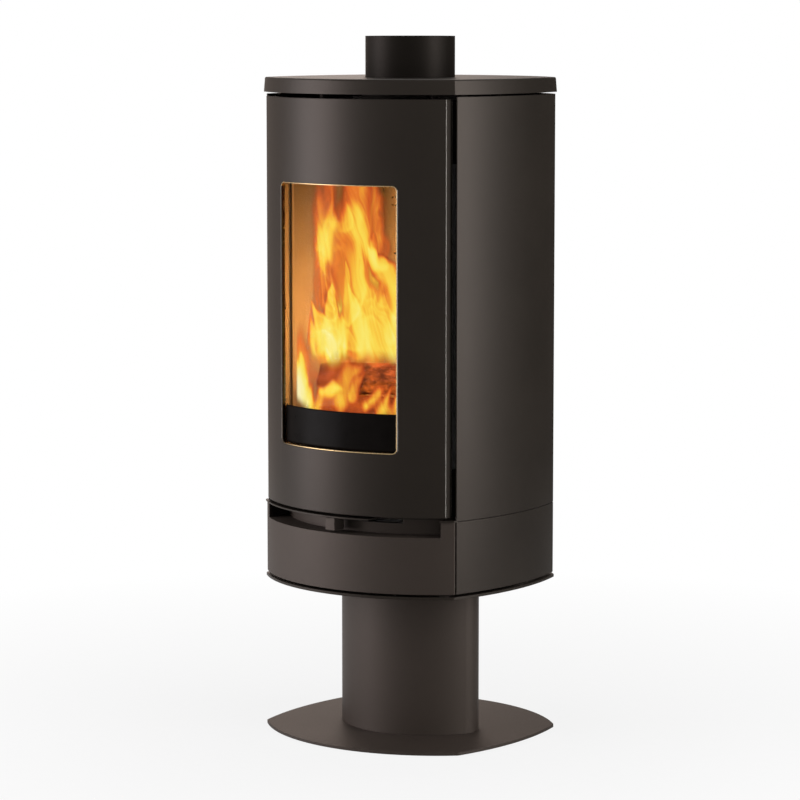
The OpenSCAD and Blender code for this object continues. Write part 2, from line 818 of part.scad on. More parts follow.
module lining_base() {
    color(vermiculite) difference() {
        lining_board(-fb_in_x + seat_gap, fb_in_x - seat_gap, lining_in_y + back_lining_t,
                     z_hearth + firebox_wall, z_base_top);
        translate([-grate_l / 2 - lining_gap, grate_y - grate_w / 2 - lining_gap, z_hearth])
            cube([grate_l + 2 * lining_gap, grate_w + 2 * lining_gap, base_lining_t + 3 * firebox_wall]);
    }
}

module grate() {
    rim = 9;
    pitch = (grate_l - 2 * rim) / grate_slots;
    slot = pitch * 0.55;
    color(cast) translate([0, grate_y, z_hearth + firebox_wall]) difference() {
        translate([-grate_l / 2, -grate_w / 2, 0]) cube([grate_l, grate_w, grate_h]);
        for (i = [0 : grate_slots - 1])
            translate([rim - grate_l / 2 + (i + 0.5) * pitch - slot / 2, rim - grate_w / 2, -over])
                cube([slot, grate_w - 2 * rim, grate_h + 2 * over]);
    }
}

module log_guard() {
    guard_h = 62;
    foot_w = 16;
    slot = [12, 30];
    pitch = 26;
    half_w = lining_in_x - 6;
    n = floor(half_w / pitch) - 1;
    color(cast) difference() {
        union() {
            front_sheet(guard_r, guard_t, -half_w, half_w, z_base_top, z_base_top + guard_h);
            front_sheet(guard_r, foot_w, -half_w, half_w, z_base_top, z_base_top + guard_t);
        }
        for (i = [-n : n]) translate([i * pitch, 0, 0])
            rounded_hole(slot[0], slot[1], slot[0] / 2, z_base_top + (guard_h - slot[1]) / 2);
    }
}

// One split log along X, with one flat side
module split_log(r, l) {
    rotate([0, 90, 0]) translate([0, 0, -l / 2]) difference() {
        cylinder(r = r, h = l, $fn = 40);
        rotate([0, 0, 35]) translate([r * 0.62, -r, -over]) cube([r, 2 * r, l + 2 * over]);
    }
}

// Two logs along the hearth, and one laid across them at a slant
module firewood() {
    upper_r = log_r - 6;
    log_l = [266, 260, 262];
    pitch = 2 * log_r + 6;
    slant = 25;
    front = front_y(guard_r - guard_t, log_l[0] / 2) + log_r + 2;
    color("#4a2f20") translate([0, front, z_base_top + log_r]) {
        rotate([200, 0, 0]) split_log(log_r, log_l[0]);
        translate([0, pitch, 0]) rotate([75, 0, 0]) split_log(log_r, log_l[1]);
        translate([0, pitch / 2, log_r + upper_r + seat_gap]) rotate([0, 0, slant])
            rotate([130, 0, 0]) split_log(upper_r, log_l[2]);
    }
}

module baffle_lower() {
    half_w = fb_in_x - 2 * seat_gap;
    y0 = -corner_d / 2 + 46;
    color(vermiculite) translate([-half_w, y0, z_lining_top])
        cube([2 * half_w, fb_in_back - air_channel - y0, baffle_t]);
}

// Steel plate on two legs, which closes against the front and leaves a way for the smoke at the back
module baffle_upper() {
    t = 3;
    half_w = fb_in_x - 2;
    y1 = fb_in_back - 74;
    z0 = z_lining_top + baffle_t;
    z1 = z_roof - firebox_wall - baffle_way;
    color(cast) {
        lining_board(-half_w, half_w, y1, z1 - t, z1);
        lining_board(-half_w, t - half_w, y1, z0, z1);
        lining_board(half_w - t, half_w, y1, z0, z1);
    }
}

module ash_box() {
    wall = 2;
    floor_t = 6;
    h = hearth_h - 2;
    color(bare_steel) difference() {
        intersection() {
            translate([-ash_box_w / 2, -front_r, z_body]) cube([ash_box_w, ash_box_back + front_r, h]);
            translate([0, front_cy, z_body]) cylinder(r = lining_front_r, h = h, $fn = big_fn);
        }
        translate([wall - ash_box_w / 2, -front_r - over, z_body + floor_t])
            cube([ash_box_w - 2 * wall, ash_box_back + front_r + over - wall, h]);
    }
}

module ash_pan() {
    wall = 1.5;
    half_w = ash_box_w / 2 - 5;
    y1 = ash_box_back - 5;
    h = hearth_h - 22;
    z0 = z_body + 6 + seat_gap;
    color(bare_steel) difference() {
        intersection() {
            translate([-half_w, -front_r, z0]) cube([2 * half_w, y1 + front_r, h]);
            translate([0, front_cy, z0]) cylinder(r = face_r, h = h, $fn = big_fn);
        }
        intersection() {
            translate([wall - half_w, -front_r, z0 + wall])
                cube([2 * (half_w - wall), y1 + front_r - wall, h]);
            translate([0, front_cy, z0]) cylinder(r = face_r - wall, h = h + over, $fn = big_fn);
        }
    }
}

module ash_pan_front() {
    t = 3;
    half_w = ash_box_w / 2 + 8;
    z0 = z_body + 3;
    z1 = z_hearth + 1;
    zc = (z0 + z1) / 2;
    grip_r = face_r + 16;
    grip_half = 36;
    grip_w = 6;
    color(cast) {
        front_sheet(face_r + t, t, -half_w, half_w, z0, z1);
        front_sheet(grip_r, 4, -grip_half, grip_half, zc - 4, zc + 4);
        for (x = [-grip_half, grip_half - grip_w])
            front_sheet(grip_r, grip_r - face_r - t + 1, x, x + grip_w, zc - 4, zc + 4);
    }
}

module flue_collar() {
    flange_t = 6;
    socket_h = z_top - deck_t - 2 - z_roof;
    color(cast) translate([0, 0, z_roof]) difference() {
        union() {
            cylinder(r = flue_r + 24, h = flange_t, $fn = 96);
            cylinder(r = flue_r + flue_wall + 6, h = socket_h, $fn = 96);
        }
        translate([0, 0, -over]) cylinder(r = flue_r - 2, h = socket_h + 2 * over, $fn = 96);
        translate([0, 0, flange_t]) cylinder(r = flue_r + flue_wall + 0.1, h = socket_h, $fn = 96);
    }
}

module flue_pipe() {
    z0 = z_roof + 6;
    color(paint) translate([0, 0, z0]) difference() {
        cylinder(r = flue_r + flue_wall, h = z_flue - z0, $fn = 96);
        translate([0, 0, -over]) cylinder(r = flue_r, h = z_flue - z0 + 2 * over, $fn = 96);
    }
}

// Disc with a leaning, rounded rim, as one revolved profile
module rim_disc(r) {
    rotate_extrude($fn = big_fn) union() {
        polygon([[0, 0], [r, 0], [r - rim_lean, rim_h - rim_r], [r - rim_lean - rim_r, rim_h], [0, rim_h]]);
        intersection() {
            translate([r - rim_lean - rim_r, rim_h - rim_r]) circle(r = rim_r, $fn = 48);
            translate([r - rim_lean - rim_r, rim_h - rim_r]) square(rim_r);
        }
    }
}

module top_plate() {
    color(paint) difference() {
        translate([0, 0, z_rim]) intersection() {
            translate([0, front_cy, 0]) rim_disc(front_r);
            translate([0, -front_cy, 0]) rim_disc(front_r);
            translate([-side_cx, 0, 0]) rim_disc(side_r);
            translate([side_cx, 0, 0]) rim_disc(side_r);
        }
        bowed_solid(body_plan, deck_t + rim_lean, z_rim - over, rim_h - deck_t + over);
        translate([0, 0, z_rim]) cylinder(r = flue_r + flue_wall + 1, h = rim_h + over, $fn = 96);
    }
}

// Spacer tubes between the firebox roof and the top plate's deck
module top_plate_posts() {
    post = [corner_w / 2 - post_side_gap, corner_d / 2 - post_end_gap];
    color(paint) for (sx = [-1, 1]) for (sy = [-1, 1])
        translate([sx * post[0], sy * post[1], z_roof]) cylinder(r = post_r, h = z_top - deck_t - z_roof);
}

module rear_heat_shield() {
    half_w = shield_fix_x + 40;
    color(bare_steel) difference() {
        translate([-half_w, firebox_back + spacer_l, z_body + shield_edge])
            cube([2 * half_w, shield_t, z_roof - z_body - 2 * shield_edge]);
        at_shield_bolts() translate([0, -over, 0]) rotate([-90, 0, 0]) cylinder(r = 3.1, h = 2 * spacer_l);
    }
}

// Puts its child at the four fixings of the rear heat shield, on the back of the firebox
module at_shield_bolts() {
    margin = shield_edge + shield_fix_in;
    for (sx = [-1, 1]) for (z = [z_body + margin, z_roof - margin])
        translate([sx * shield_fix_x, firebox_back, z]) children();
}

module shield_bolts() {
    head_r = 6;
    head_h = 3.5;
    color(bare_steel) at_shield_bolts() rotate([-90, 0, 0]) {
        cylinder(r = head_r, h = spacer_l);
        cylinder(r = head_r / 2, h = spacer_l + head_h - 0.5);
        translate([0, 0, spacer_l + shield_t]) cylinder(r = head_r, h = head_h);
    }
}

// Sheet that shades the right-hand side panel from the firebox, on pressed bosses
module side_shield() {
    y0 = front_y(face_r - front_frame_t, fb_x) + 3;
    depth = firebox_back - 10 - y0;
    h = z_frame_top - z_frame;
    boss_r = 8;
    boss_in = [14, 40];
    translate([fb_x + shield_stand, y0, z_frame]) cube([shield_t, depth, h]);
    for (y = [boss_in[0], depth - boss_in[0]]) for (z = [boss_in[1], h / 2, h - boss_in[1]])
        translate([fb_x, y0 + y, z_frame + z]) rotate([0, 90, 0])
            cylinder(r = boss_r, h = shield_stand + 0.5);
}

module side_shield_left() {
    color(bare_steel) mirror([1, 0, 0]) side_shield();
}

module side_shield_right() {
    color(bare_steel) side_shield();
}

// Ear of the bracket around the hinge axis, with an arm to the front frame
module hinge_bracket(z0, pad0, pad1) {
    arm_angle = 8;
    arm_l = 40;
    arm_width = 14;
    pad_x = -fb_x + 15;
    difference() {
        union() {
            translate([-axis_x, axis_y, z0]) cylinder(r = ear_r + 1, h = bracket_t);
            translate([-axis_x, axis_y, z0]) rotate([0, 0, arm_angle])
                translate([0, -arm_width / 2, 0]) cube([arm_l, arm_width, bracket_t]);
        }
        translate([0, front_cy, z0 - over]) cylinder(r = face_r, h = bracket_t + 2 * over, $fn = big_fn);
        translate([-axis_x, axis_y, z0 - over]) cylinder(r = pin_r + pin_gap, h = bracket_t + 2 * over);
    }
    front_sheet(face_r + pad_t, pad_t, pad_x, pad_x + pad_w, pad0, pad1);
}

module hinge_bracket_upper() {
    color(cast) hinge_bracket(z_upper_bracket, z_upper_bracket, z_upper_bracket + 26);
}

module hinge_bracket_lower() {
    color(cast) hinge_bracket(z_lower_bracket, z_lower_bracket - 20, z_lower_bracket + bracket_t);
}

module hinge_pins() {
    l = bracket_t + bush_flange + run_gap + ear_t;
    color(bare_steel) {
        translate([-axis_x, axis_y, z_upper_bracket + bracket_t - l]) cylinder(r = pin_r, h = l);
        translate([-axis_x, axis_y, z_lower_bracket]) cylinder(r = pin_r, h = l);
    }
}

// Turned bush with a flange above it
module bush() {
    difference() {
        union() {
            cylinder(r = pin_r + bush_wall, h = ear_t);
            translate([0, 0, ear_t]) cylinder(r = pin_r + bush_wall + 1.5, h = bush_flange);
        }
        translate([0, 0, -over]) cylinder(r = pin_r + pin_gap, h = ear_t + bush_flange + 2 * over);
    }
}

module hinge_bushes() {
    color("#b08d57") {
        translate([-axis_x, axis_y, z_frame_top - ear_t]) bush();
        translate([-axis_x, axis_y, z_frame + ear_t]) mirror([0, 0, 1]) bush();
    }
}

module door_skin() {
    half_w = door_w / 2;
    color(paint) difference() {
        union() {
            front_sheet(panel_r, skin_t, -half_w, half_w, z_door, z_door_top);
            intersection() {
                translate([0, front_cy, z_door]) cylinder(r = panel_r, h = door_h, $fn = big_fn);
                for (sx = [-1, 1]) translate([sx * (half_w - skin_t / 2) - skin_t / 2, -front_r, z_door])
                    cube([skin_t, front_r + fold_end_y, door_h]);
            }
            intersection() {
                for (z = [z_door, z_door_top - skin_t])
                    front_sheet(panel_r, door_fold, -half_w, half_w, z, z + skin_t);
                translate([-half_w, -front_r, z_door]) cube([door_w, front_r + fold_end_y, door_h]);
            }
        }
        rounded_hole(window_w, window_h, window_r, z_window);
        front_sheet(skin_in_r, door_fold, notch_x, notch_x + notch_w,
                    z_door - over, z_door + skin_t + over);
    }
}

// Round ear at one end of the inner frame
module frame_ear(sx, z, hole_r) {
    neck_w = 14;
    lap = 4;
    difference() {
        union() {
            translate([sx * axis_x, axis_y, z]) cylinder(r = ear_r, h = ear_t);
            intersection() {
                front_sheet(axis_r + neck_w / 2, neck_w, -axis_x, axis_x, z, z + ear_t);
                translate([sx > 0 ? frame_w / 2 - lap : -axis_x, -front_r, z])
                    cube([axis_x - frame_w / 2 + lap, front_r, ear_t]);
            }
        }
        translate([sx * axis_x, axis_y, z - over]) cylinder(r = hole_r, h = ear_t + 2 * over);
    }
}

module door_frame() {
    half_w = frame_w / 2;
    cross_bar = 13;
    thread_r = 2.5;
    thread_l = 12;
    color(cast) {
        difference() {
            union() {
                difference() {
                    front_sheet(skin_in_r, web_t, -half_w, half_w, z_frame, z_frame_top);
                    rounded_hole(window_w + 2 * window_relief, window_h + 2 * window_relief,
                                 window_r, z_window - window_relief);
                }
                front_border(web_r, frame_d, half_w, z_frame, z_frame_top, frame_bar, cross_bar);
            }
            front_border(frame_in_r + rope_seat, rope_seat + over, half_w - rope_margin,
                         z_frame + 2, z_frame_top - 3, rope_w + 0.4, rope_w - 1);
            at_clips() translate([-over, 0, 0]) rotate([0, 90, 0]) cylinder(r = thread_r, h = thread_l);
        }
        for (z = [z_frame, z_frame_top - ear_t]) {
            frame_ear(-1, z, pin_r + bush_wall);
            frame_ear(1, z, pin_r + pin_gap);
        }
    }
}

module door_glass() {
    color("#202020", 0.35) front_sheet(glass_r, glass_t, -glass_w / 2, glass_w / 2,
                                 z_window - glass_lap, z_window + window_h + glass_lap);
}

module glass_gasket() {
    strip_w = 7;
    color("#5a5652") front_border(web_r, gasket_t, glass_w / 2, z_window - glass_lap,
                                  z_window + window_h + glass_lap, strip_w, strip_w);
}

// Puts its child at the six glass clips, on the frame's inner side, pointing outwards along +X
module at_clips() {
    for (sx = [0, 1]) mirror([sx, 0, 0]) for (z = clip_rows)
        translate([clip_x, front_y(glass_in_r - clip_hole_d, clip_x), z_window + z * window_h]) children();
}

module glass_clips() {
    reach = 11;
    leg = 15;
    color(bare_steel) for (sx = [0, 1]) mirror([sx, 0, 0]) for (z = clip_rows) difference() {
        translate([0, 0, z_window + z * window_h - clip_h / 2]) union() {
            front_sheet(glass_in_r, clip_t, clip_x - reach, clip_x, 0, clip_h);
            front_sheet(glass_in_r, leg, clip_x - 2, clip_x, 0, clip_h);
        }
        translate([clip_x - 3, front_y(glass_in_r - clip_hole_d, clip_x), z_window + z * window_h])
            rotate([0, 90, 0]) cylinder(r = 2.5, h = 6);
    }
}

module clip_screws() {
    shank_l = 9;
    head_h = 2.5;
    color(bare_steel) at_clips() rotate([0, 90, 0]) {
        translate([0, 0, -2]) cylinder(r = 2.4, h = shank_l + 2);
        translate([0, 0, -2 - head_h]) cylinder(r = 4, h = head_h);
    }
}

module door_rope_seal() {
    color("#6b675f") front_border(frame_in_r + rope_seat, frame_in_r + rope_seat - face_r - run_gap,
                                  frame_w / 2 - rope_margin - 0.2, z_frame + 2.2, z_frame_top - 3.2,
                                  rope_w, rope_w - 1.4);
}

// Latch rod, with a hook above and below the inner frame
module latch_rod() {
    color(bare_steel) translate([axis_x, axis_y, z_finger])
        cylinder(r = pin_r, h = z_hook_high + hook_t + 4 - z_finger);
}

// Hook drawn released: a ring, an arm and a finger that runs round the rod
module hook() {
    ring_r = pin_r + 4;
    finger_r = 20;
    finger_t = 2.8;
    tip = 75 + latch_turn;
    root = 125 + latch_turn;
    spoke_w = 6;
    difference() {
        union() {
            cylinder(r = ring_r, h = hook_t);
            intersection() {
                difference() {
                    cylinder(r = finger_r, h = hook_t, $fn = 96);
                    translate([0, 0, -over])
                        cylinder(r = finger_r - finger_t, h = hook_t + 2 * over, $fn = 96);
                }
                linear_extrude(height = hook_t) polygon([[0, 0], 2 * finger_r * [cos(tip), sin(tip)],
                    2 * finger_r * [cos((tip + root) / 2), sin((tip + root) / 2)],
                    2 * finger_r * [cos(root), sin(root)]]);
            }
            rotate([0, 0, root - 9]) translate([pin_r + 1, -spoke_w / 2, 0])
                cube([finger_r - pin_r - 2.2, spoke_w, hook_t]);
        }
        translate([0, 0, -over]) cylinder(r = pin_r, h = hook_t + 2 * over);
    }
}

module latch_hooks() {
    color(bare_steel) for (z = [z_hook_low, z_hook_high]) translate([axis_x, axis_y, z]) hook();
}

module latch_lever() {
    finger_angle = 215;
    finger_t = 4;
    color(bare_steel) translate([axis_x, axis_y, z_finger]) difference() {
        union() {
            cylinder(r = pin_r + 3, h = finger_h);
            rotate([0, 0, finger_angle]) translate([0, -finger_t / 2, 0]) cube([finger_l, finger_t, finger_h]);
        }
        translate([0, 0, -over]) cylinder(r = pin_r, h = finger_h + 2 * over);
    }
}

// Catch pin behind the latch rod, on an arm from the front frame
module catch_at(z) {
    catch_pos = [axis_x + 2, axis_y + 13];
    catch_r = 3;
    plate_t = 4;
    plate_r = 5;
    plate_l = 30;
    plate_angle = 172;
    pad_x = fb_x - 6;
    pad_h = 16;
    z_plate = z + hook_t + 1;
    difference() {
        translate([catch_pos[0], catch_pos[1], z_plate]) {
            cylinder(r = plate_r, h = plate_t);
            rotate([0, 0, plate_angle]) translate([0, -plate_r, 0]) cube([plate_l, 2 * plate_r, plate_t]);
        }
        translate([0, front_cy, z_plate - over]) cylinder(r = face_r, h = plate_t + 2 * over, $fn = big_fn);
    }
    translate([catch_pos[0], catch_pos[1], z - 1]) cylinder(r = catch_r, h = z_plate - z + 1 + plate_t / 2);
    front_sheet(face_r + pad_t, pad_t, pad_x - pad_w, pad_x, z_plate, z_plate + pad_h);
}

module latch_catches() {
    color(cast) for (z = [z_hook_low, z_hook_high]) catch_at(z);
}

base_plate();
column();
column_flanges();
column_bolts();
bottom_plate();
air_duct();
air_box();
support_left();
support_right();
shelf_plate();
lower_front_panel();
slot_pocket();
lower_side_panel_left();
lower_side_panel_right();
lower_rear_panel();
air_lever();
air_lever_knob();
air_lever_pin();
firebox();
front_frame();
lining_left();
lining_right();
lining_back_lower();
lining_back_upper();
lining_base();
grate();
log_guard();
firewood();
baffle_lower();
baffle_upper();
ash_box();
ash_pan();
ash_pan_front();
flue_collar();
flue_pipe();
top_plate();
top_plate_posts();
side_panel_left();
side_panel_right();
rear_panel();
rear_heat_shield();
side_shield_left();
side_shield_right();
shield_bolts();
hinge_bracket_upper();
hinge_bracket_lower();
hinge_pins();
latch_catches();
door_skin();
door_frame();
door_glass();
glass_gasket();
glass_clips();
clip_screws();
door_rope_seal();
hinge_bushes();
latch_rod();
latch_hooks();
latch_lever();
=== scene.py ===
import json
import math

import bpy
import numpy as np
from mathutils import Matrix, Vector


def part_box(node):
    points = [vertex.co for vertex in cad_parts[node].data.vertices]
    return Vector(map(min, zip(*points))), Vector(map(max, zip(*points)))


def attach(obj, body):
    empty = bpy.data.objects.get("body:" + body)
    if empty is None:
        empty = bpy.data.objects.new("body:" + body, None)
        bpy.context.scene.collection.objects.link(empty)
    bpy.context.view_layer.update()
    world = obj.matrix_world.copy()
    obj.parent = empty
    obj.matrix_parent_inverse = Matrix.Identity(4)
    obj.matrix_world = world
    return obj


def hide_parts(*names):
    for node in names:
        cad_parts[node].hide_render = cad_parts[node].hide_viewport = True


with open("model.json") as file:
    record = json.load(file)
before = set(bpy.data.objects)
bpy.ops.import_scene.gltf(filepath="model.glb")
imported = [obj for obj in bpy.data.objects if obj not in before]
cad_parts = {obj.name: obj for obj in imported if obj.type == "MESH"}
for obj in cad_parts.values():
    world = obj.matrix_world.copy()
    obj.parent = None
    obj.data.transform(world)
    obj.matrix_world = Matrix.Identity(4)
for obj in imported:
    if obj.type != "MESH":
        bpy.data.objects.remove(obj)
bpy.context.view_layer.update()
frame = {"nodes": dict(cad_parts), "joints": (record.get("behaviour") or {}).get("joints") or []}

bl_info = {
    "name": "Curved wood stove",
    "version": (1, 0, 0),
    "blender": (4, 5, 0),
    "location": "3D View > Sidebar > Stove",
    "description": "Finishes, window trim, fire and stage for a curved wood burning stove on a column",
    "category": "Object",
}

# Places taken from the frame, in metres
NODES = frame["nodes"]
GLASS_LO, GLASS_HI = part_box("door_glass")
SKIN_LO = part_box("door_skin")[0]
LOAD_LO, LOAD_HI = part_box("firewood")
GUARD_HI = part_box("log_guard")[1]
LEFT_BOARD_LO, LEFT_BOARD_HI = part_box("lining_left")
HEARTH_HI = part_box("lining_base")[1]
BACK_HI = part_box("lining_back_lower")[1]
FRONT_CENTRE = next(j for j in frame["joints"] if j["name"] == "air_lever_swing")["pos_m"][1]
GLASS_RADIUS = FRONT_CENTRE - GLASS_LO.y
SKIN_RADIUS = FRONT_CENTRE - SKIN_LO.y
OPENING_HALF = -LEFT_BOARD_HI.x
LAMP_AIM = (0, 0, 0.62)
SCREEN_RADIUS = 2.4
SENSOR_WIDTH = 36
FLOOR_DROP = 0.0005
WHITE = (1, 1, 1, 1)
NO_TRIANGLES = np.zeros((0, 3), dtype=int)


def soft_step(a, b, x):
    """Smooth ramp from 0 at a to 1 at b: t*t*(3 - 2t) with t the clipped fraction."""
    t = np.clip((x - a) / (b - a), 0, 1)
    return t * t * (3 - 2 * t)


def value_noise(x, y, z, seed):
    """Random numbers on a cube lattice, blended between the eight nearest by 3t^2 - 2t^3; 0 to 1."""
    size = 32
    table = np.random.default_rng(seed).random((size, size, size))
    cell = [np.floor(v).astype(int) for v in (x, y, z)]
    part = [v - c for v, c in zip((x, y, z), cell)]
    part = [t * t * (3 - 2 * t) for t in part]
    share = [(1 - t, t) for t in part]
    side = [(c % size, (c + 1) % size) for c in cell]
    total = 0
    for i, j, k in np.ndindex(2, 2, 2):
        weight = share[0][i] * share[1][j] * share[2][k]
        total = total + weight * table[side[0][i], side[1][j], side[2][k]]
    return total


def layered_noise(x, y, z, seed, layers=4):
    """Sum of value noises, each at twice the frequency and half the height of the last; about 0 to 1."""
    total, height = 0, 0.5
    for layer in range(layers):
        total = total + height * value_noise(x, y, z, seed + layer)
        x, y, z, height = 2.03 * x + 7.1, 2.03 * y + 3.7, 2.03 * z + 5.3, height / 2
    return total / (1 - 0.5 ** layers)


def build_mesh(name, vertices, *faces):
    """Mesh from whole arrays: quads first, then triangles."""
    loops = np.concatenate([group.reshape(-1) for group in faces])
    sizes = np.concatenate([np.full(len(group), group.shape[1]) for group in faces])
    mesh = bpy.data.meshes.new(name)
    mesh.vertices.add(len(vertices))
    mesh.vertices.foreach_set("co", vertices.astype(np.float32).reshape(-1))
    mesh.loops.add(len(loops))
    mesh.loops.foreach_set("vertex_index", loops.astype(np.int32))
    mesh.polygons.add(len(sizes))
    mesh.polygons.foreach_set("loop_start", (np.cumsum(sizes) - sizes).astype(np.int32))
    mesh.polygons.foreach_set("use_smooth", np.ones(len(sizes), dtype=bool))
    mesh.update(calc_edges=True)
    if mesh.validate():
        raise RuntimeError(f"{name}: the surface has broken faces")
    return mesh


def grid_faces(rows, columns, wrap_rows=False, wrap_columns=False):
    """Quads over a grid of points numbered row by row, joined end to end where it wraps."""
    index = np.arange(rows * columns).reshape(rows, columns)
    if wrap_rows:
        index = np.vstack([index, index[:1]])
    if wrap_columns:
        index = np.hstack([index, index[:, :1]])
    corners = [index[:-1, :-1], index[1:, :-1], index[1:, 1:], index[:-1, 1:]]
    return np.stack(corners, -1).reshape(-1, 4)


def facing_out(vertices, quads, triangles=NO_TRIANGLES):
    """The faces of a closed surface, turned round where its volume is below zero.

    Volume = sum of a . (b x c) / 6 over the triangles, above zero when they face outwards.
    """
    split = np.vstack([quads[:, [0, 1, 2]], quads[:, [0, 2, 3]], triangles])
    a, b, c = (vertices[split[:, i]] for i in range(3))
    if np.einsum("ij,ij->i", a, np.cross(b, c)).sum() / 6 < 0:
        quads, triangles = quads[:, ::-1], triangles[:, ::-1]
    return quads, triangles


def fan(ring, middle):
    """Triangles from a ring of points to a middle one."""
    return np.stack([np.full(len(ring), middle), ring, np.roll(ring, -1)], -1)


def closed_tube(points, wrap_rows=False):
    """Closed surface from rings of points: side quads, and a fan to a middle at each end."""
    rows, columns = points.shape[:2]
    vertices, caps = points.reshape(-1, 3), NO_TRIANGLES
    if not wrap_rows:
        top, first = rows * columns, np.arange(columns)
        vertices = np.vstack([vertices, points[0].mean(0), points[-1].mean(0)])
        caps = np.vstack([fan(first, top), fan(top - columns + first, top + 1)[:, [0, 2, 1]]])
    return vertices, *facing_out(vertices, grid_faces(rows, columns, wrap_rows, True), caps)


def new_object(name, data):
    """Object of a mesh, lamp or camera, in the scene's collection."""
    made = bpy.data.objects.new(name, data)
    bpy.context.scene.collection.objects.link(made)
    return made


def add_piece(name, mesh, material, body):
    """Object at the origin with its place in its mesh, riding on a body of the frame."""
    piece = new_object(name, mesh)
    mesh.materials.append(material)
    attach(piece, body)
    return piece


def store_colours(mesh, name, colours):
    """Keeps one colour and alpha for each point of the mesh."""
    layer = mesh.color_attributes.new(name, "FLOAT_COLOR", "POINT")
    layer.data.foreach_set("color", colours.astype(np.float32).reshape(-1))


class Finish:
    """Node tree of a new material or world: each step adds a node, and most return its output socket."""

    def __init__(self, name, made="material"):
        self.made = getattr(bpy.data, made + "s").new(name)
        self.made.use_nodes = True
        self.tree = self.made.node_tree
        self.tree.nodes.clear()
        self.output = self.add("Output" + made.title())

    def add(self, kind, inputs=None, **settings):
        """One shader node; a socket given as an input is linked, and any other value is set."""
        node = self.tree.nodes.new("ShaderNode" + kind)
        for key, value in settings.items():
            setattr(node, key, value)
        for key, value in (inputs or {}).items():
            if isinstance(value, bpy.types.NodeSocket):
                self.tree.links.new(value, node.inputs[key])
            else:
                node.inputs[key].default_value = value
        return node

    def place(self):
        """Object coordinates."""
        return self.add("TexCoord").outputs["Object"]

    def axes(self):
        """Object coordinates as X, Y and Z."""
        return self.add("SeparateXYZ", {"Vector": self.place()}).outputs

    def maths(self, operation, *values):
        """One sum on numbers."""
        return self.add("Math", dict(enumerate(values)), operation=operation).outputs[0]

    def scaled(self, value, start, end, low=0.0, high=1.0):
        """Goes from low to high as the value goes from start to end."""
        inputs = {"Value": value, "From Min": start, "From Max": end, "To Min": low, "To Max": high}
        return self.add("MapRange", inputs).outputs["Result"]

    def uneven(self, noise, low, high):
        """Goes from low to high over the usual reach of a noise."""
        return self.scaled(noise, 0.3, 0.7, low, high)

    def noise(self, scale, detail=2.0, stretch=None, roughness=0.5):
        """Noise on Object coordinates, in waves per metre, or stretched along the axes."""
        place = self.place()
        if stretch:
            place = self.add("Mapping", {"Vector": place, "Scale": stretch}).outputs["Vector"]
        inputs = {"Vector": place, "Scale": scale, "Detail": detail, "Roughness": roughness}
        return self.add("TexNoise", inputs).outputs["Fac"]

    def cells(self, place, scale, feature="F1"):
        """Distance in a pattern of cells: to the nearest middle, or to the nearest edge."""
        return self.add("TexVoronoi", {"Vector": place, "Scale": scale}, feature=feature).outputs["Distance"]

    def ramp(self, factor, low, high, start=0.3, end=0.7):
        """Colour that goes from low to high as the factor goes from start to end."""
        return self.shading(factor, ((start, low), (end, high)))

    def shading(self, factor, stops):
        """Colour ramp through stops, each a position and a colour."""
        node = self.add("ValToRGB", {"Fac": factor})
        for position, _ in stops[2:]:
            node.color_ramp.elements.new(position)
        for element, (position, colour) in zip(node.color_ramp.elements, stops):
            element.position, element.color = position, (*colour, 1)
        return node.outputs["Color"]

    def mixed(self, factor, first, second, blend="MIX"):
        """Colour between the first and the second."""
        inputs = {0: factor, 6: first, 7: second}
        return self.add("Mix", inputs, data_type="RGBA", blend_type=blend).outputs[2]

    def bump(self, height, distance, normal=None):
        """Surface normal from a height field of the given depth in metres."""
        inputs = {"Height": height, "Distance": distance, "Strength": 1.0}
        if normal:
            inputs["Normal"] = normal
        return self.add("Bump", inputs).outputs["Normal"]

    def seen_ray(self):
        """1 for rays from the camera, a mirror-like surface or through glass, 0 for the rest."""
        path = self.add("LightPath").outputs
        first = self.maths("MAXIMUM", path["Is Camera Ray"], path["Is Glossy Ray"])
        return self.maths("MAXIMUM", first, path["Is Transmission Ray"])

    def close(self, node):
        """Puts the node's shader on the output; returns the material or world."""
        self.tree.links.new(node.outputs[0], self.output.inputs["Surface"])
        return self.made

    def surface(self, inputs):
        """Closes the tree with a principled surface."""
        return self.close(self.add("BsdfPrincipled", inputs))


def shades(colour, spread):
    """A darker and a lighter version of a colour."""
    return tuple(c * (1 - spread) for c in colour), tuple(min(1, c * (1 + spread)) for c in colour)


def coat_nodes(material, *nodes):
    """Gives the CAD nodes this finish in every material slot."""
    for name in nodes:
        for slot in NODES[name].material_slots:
            slot.material = material


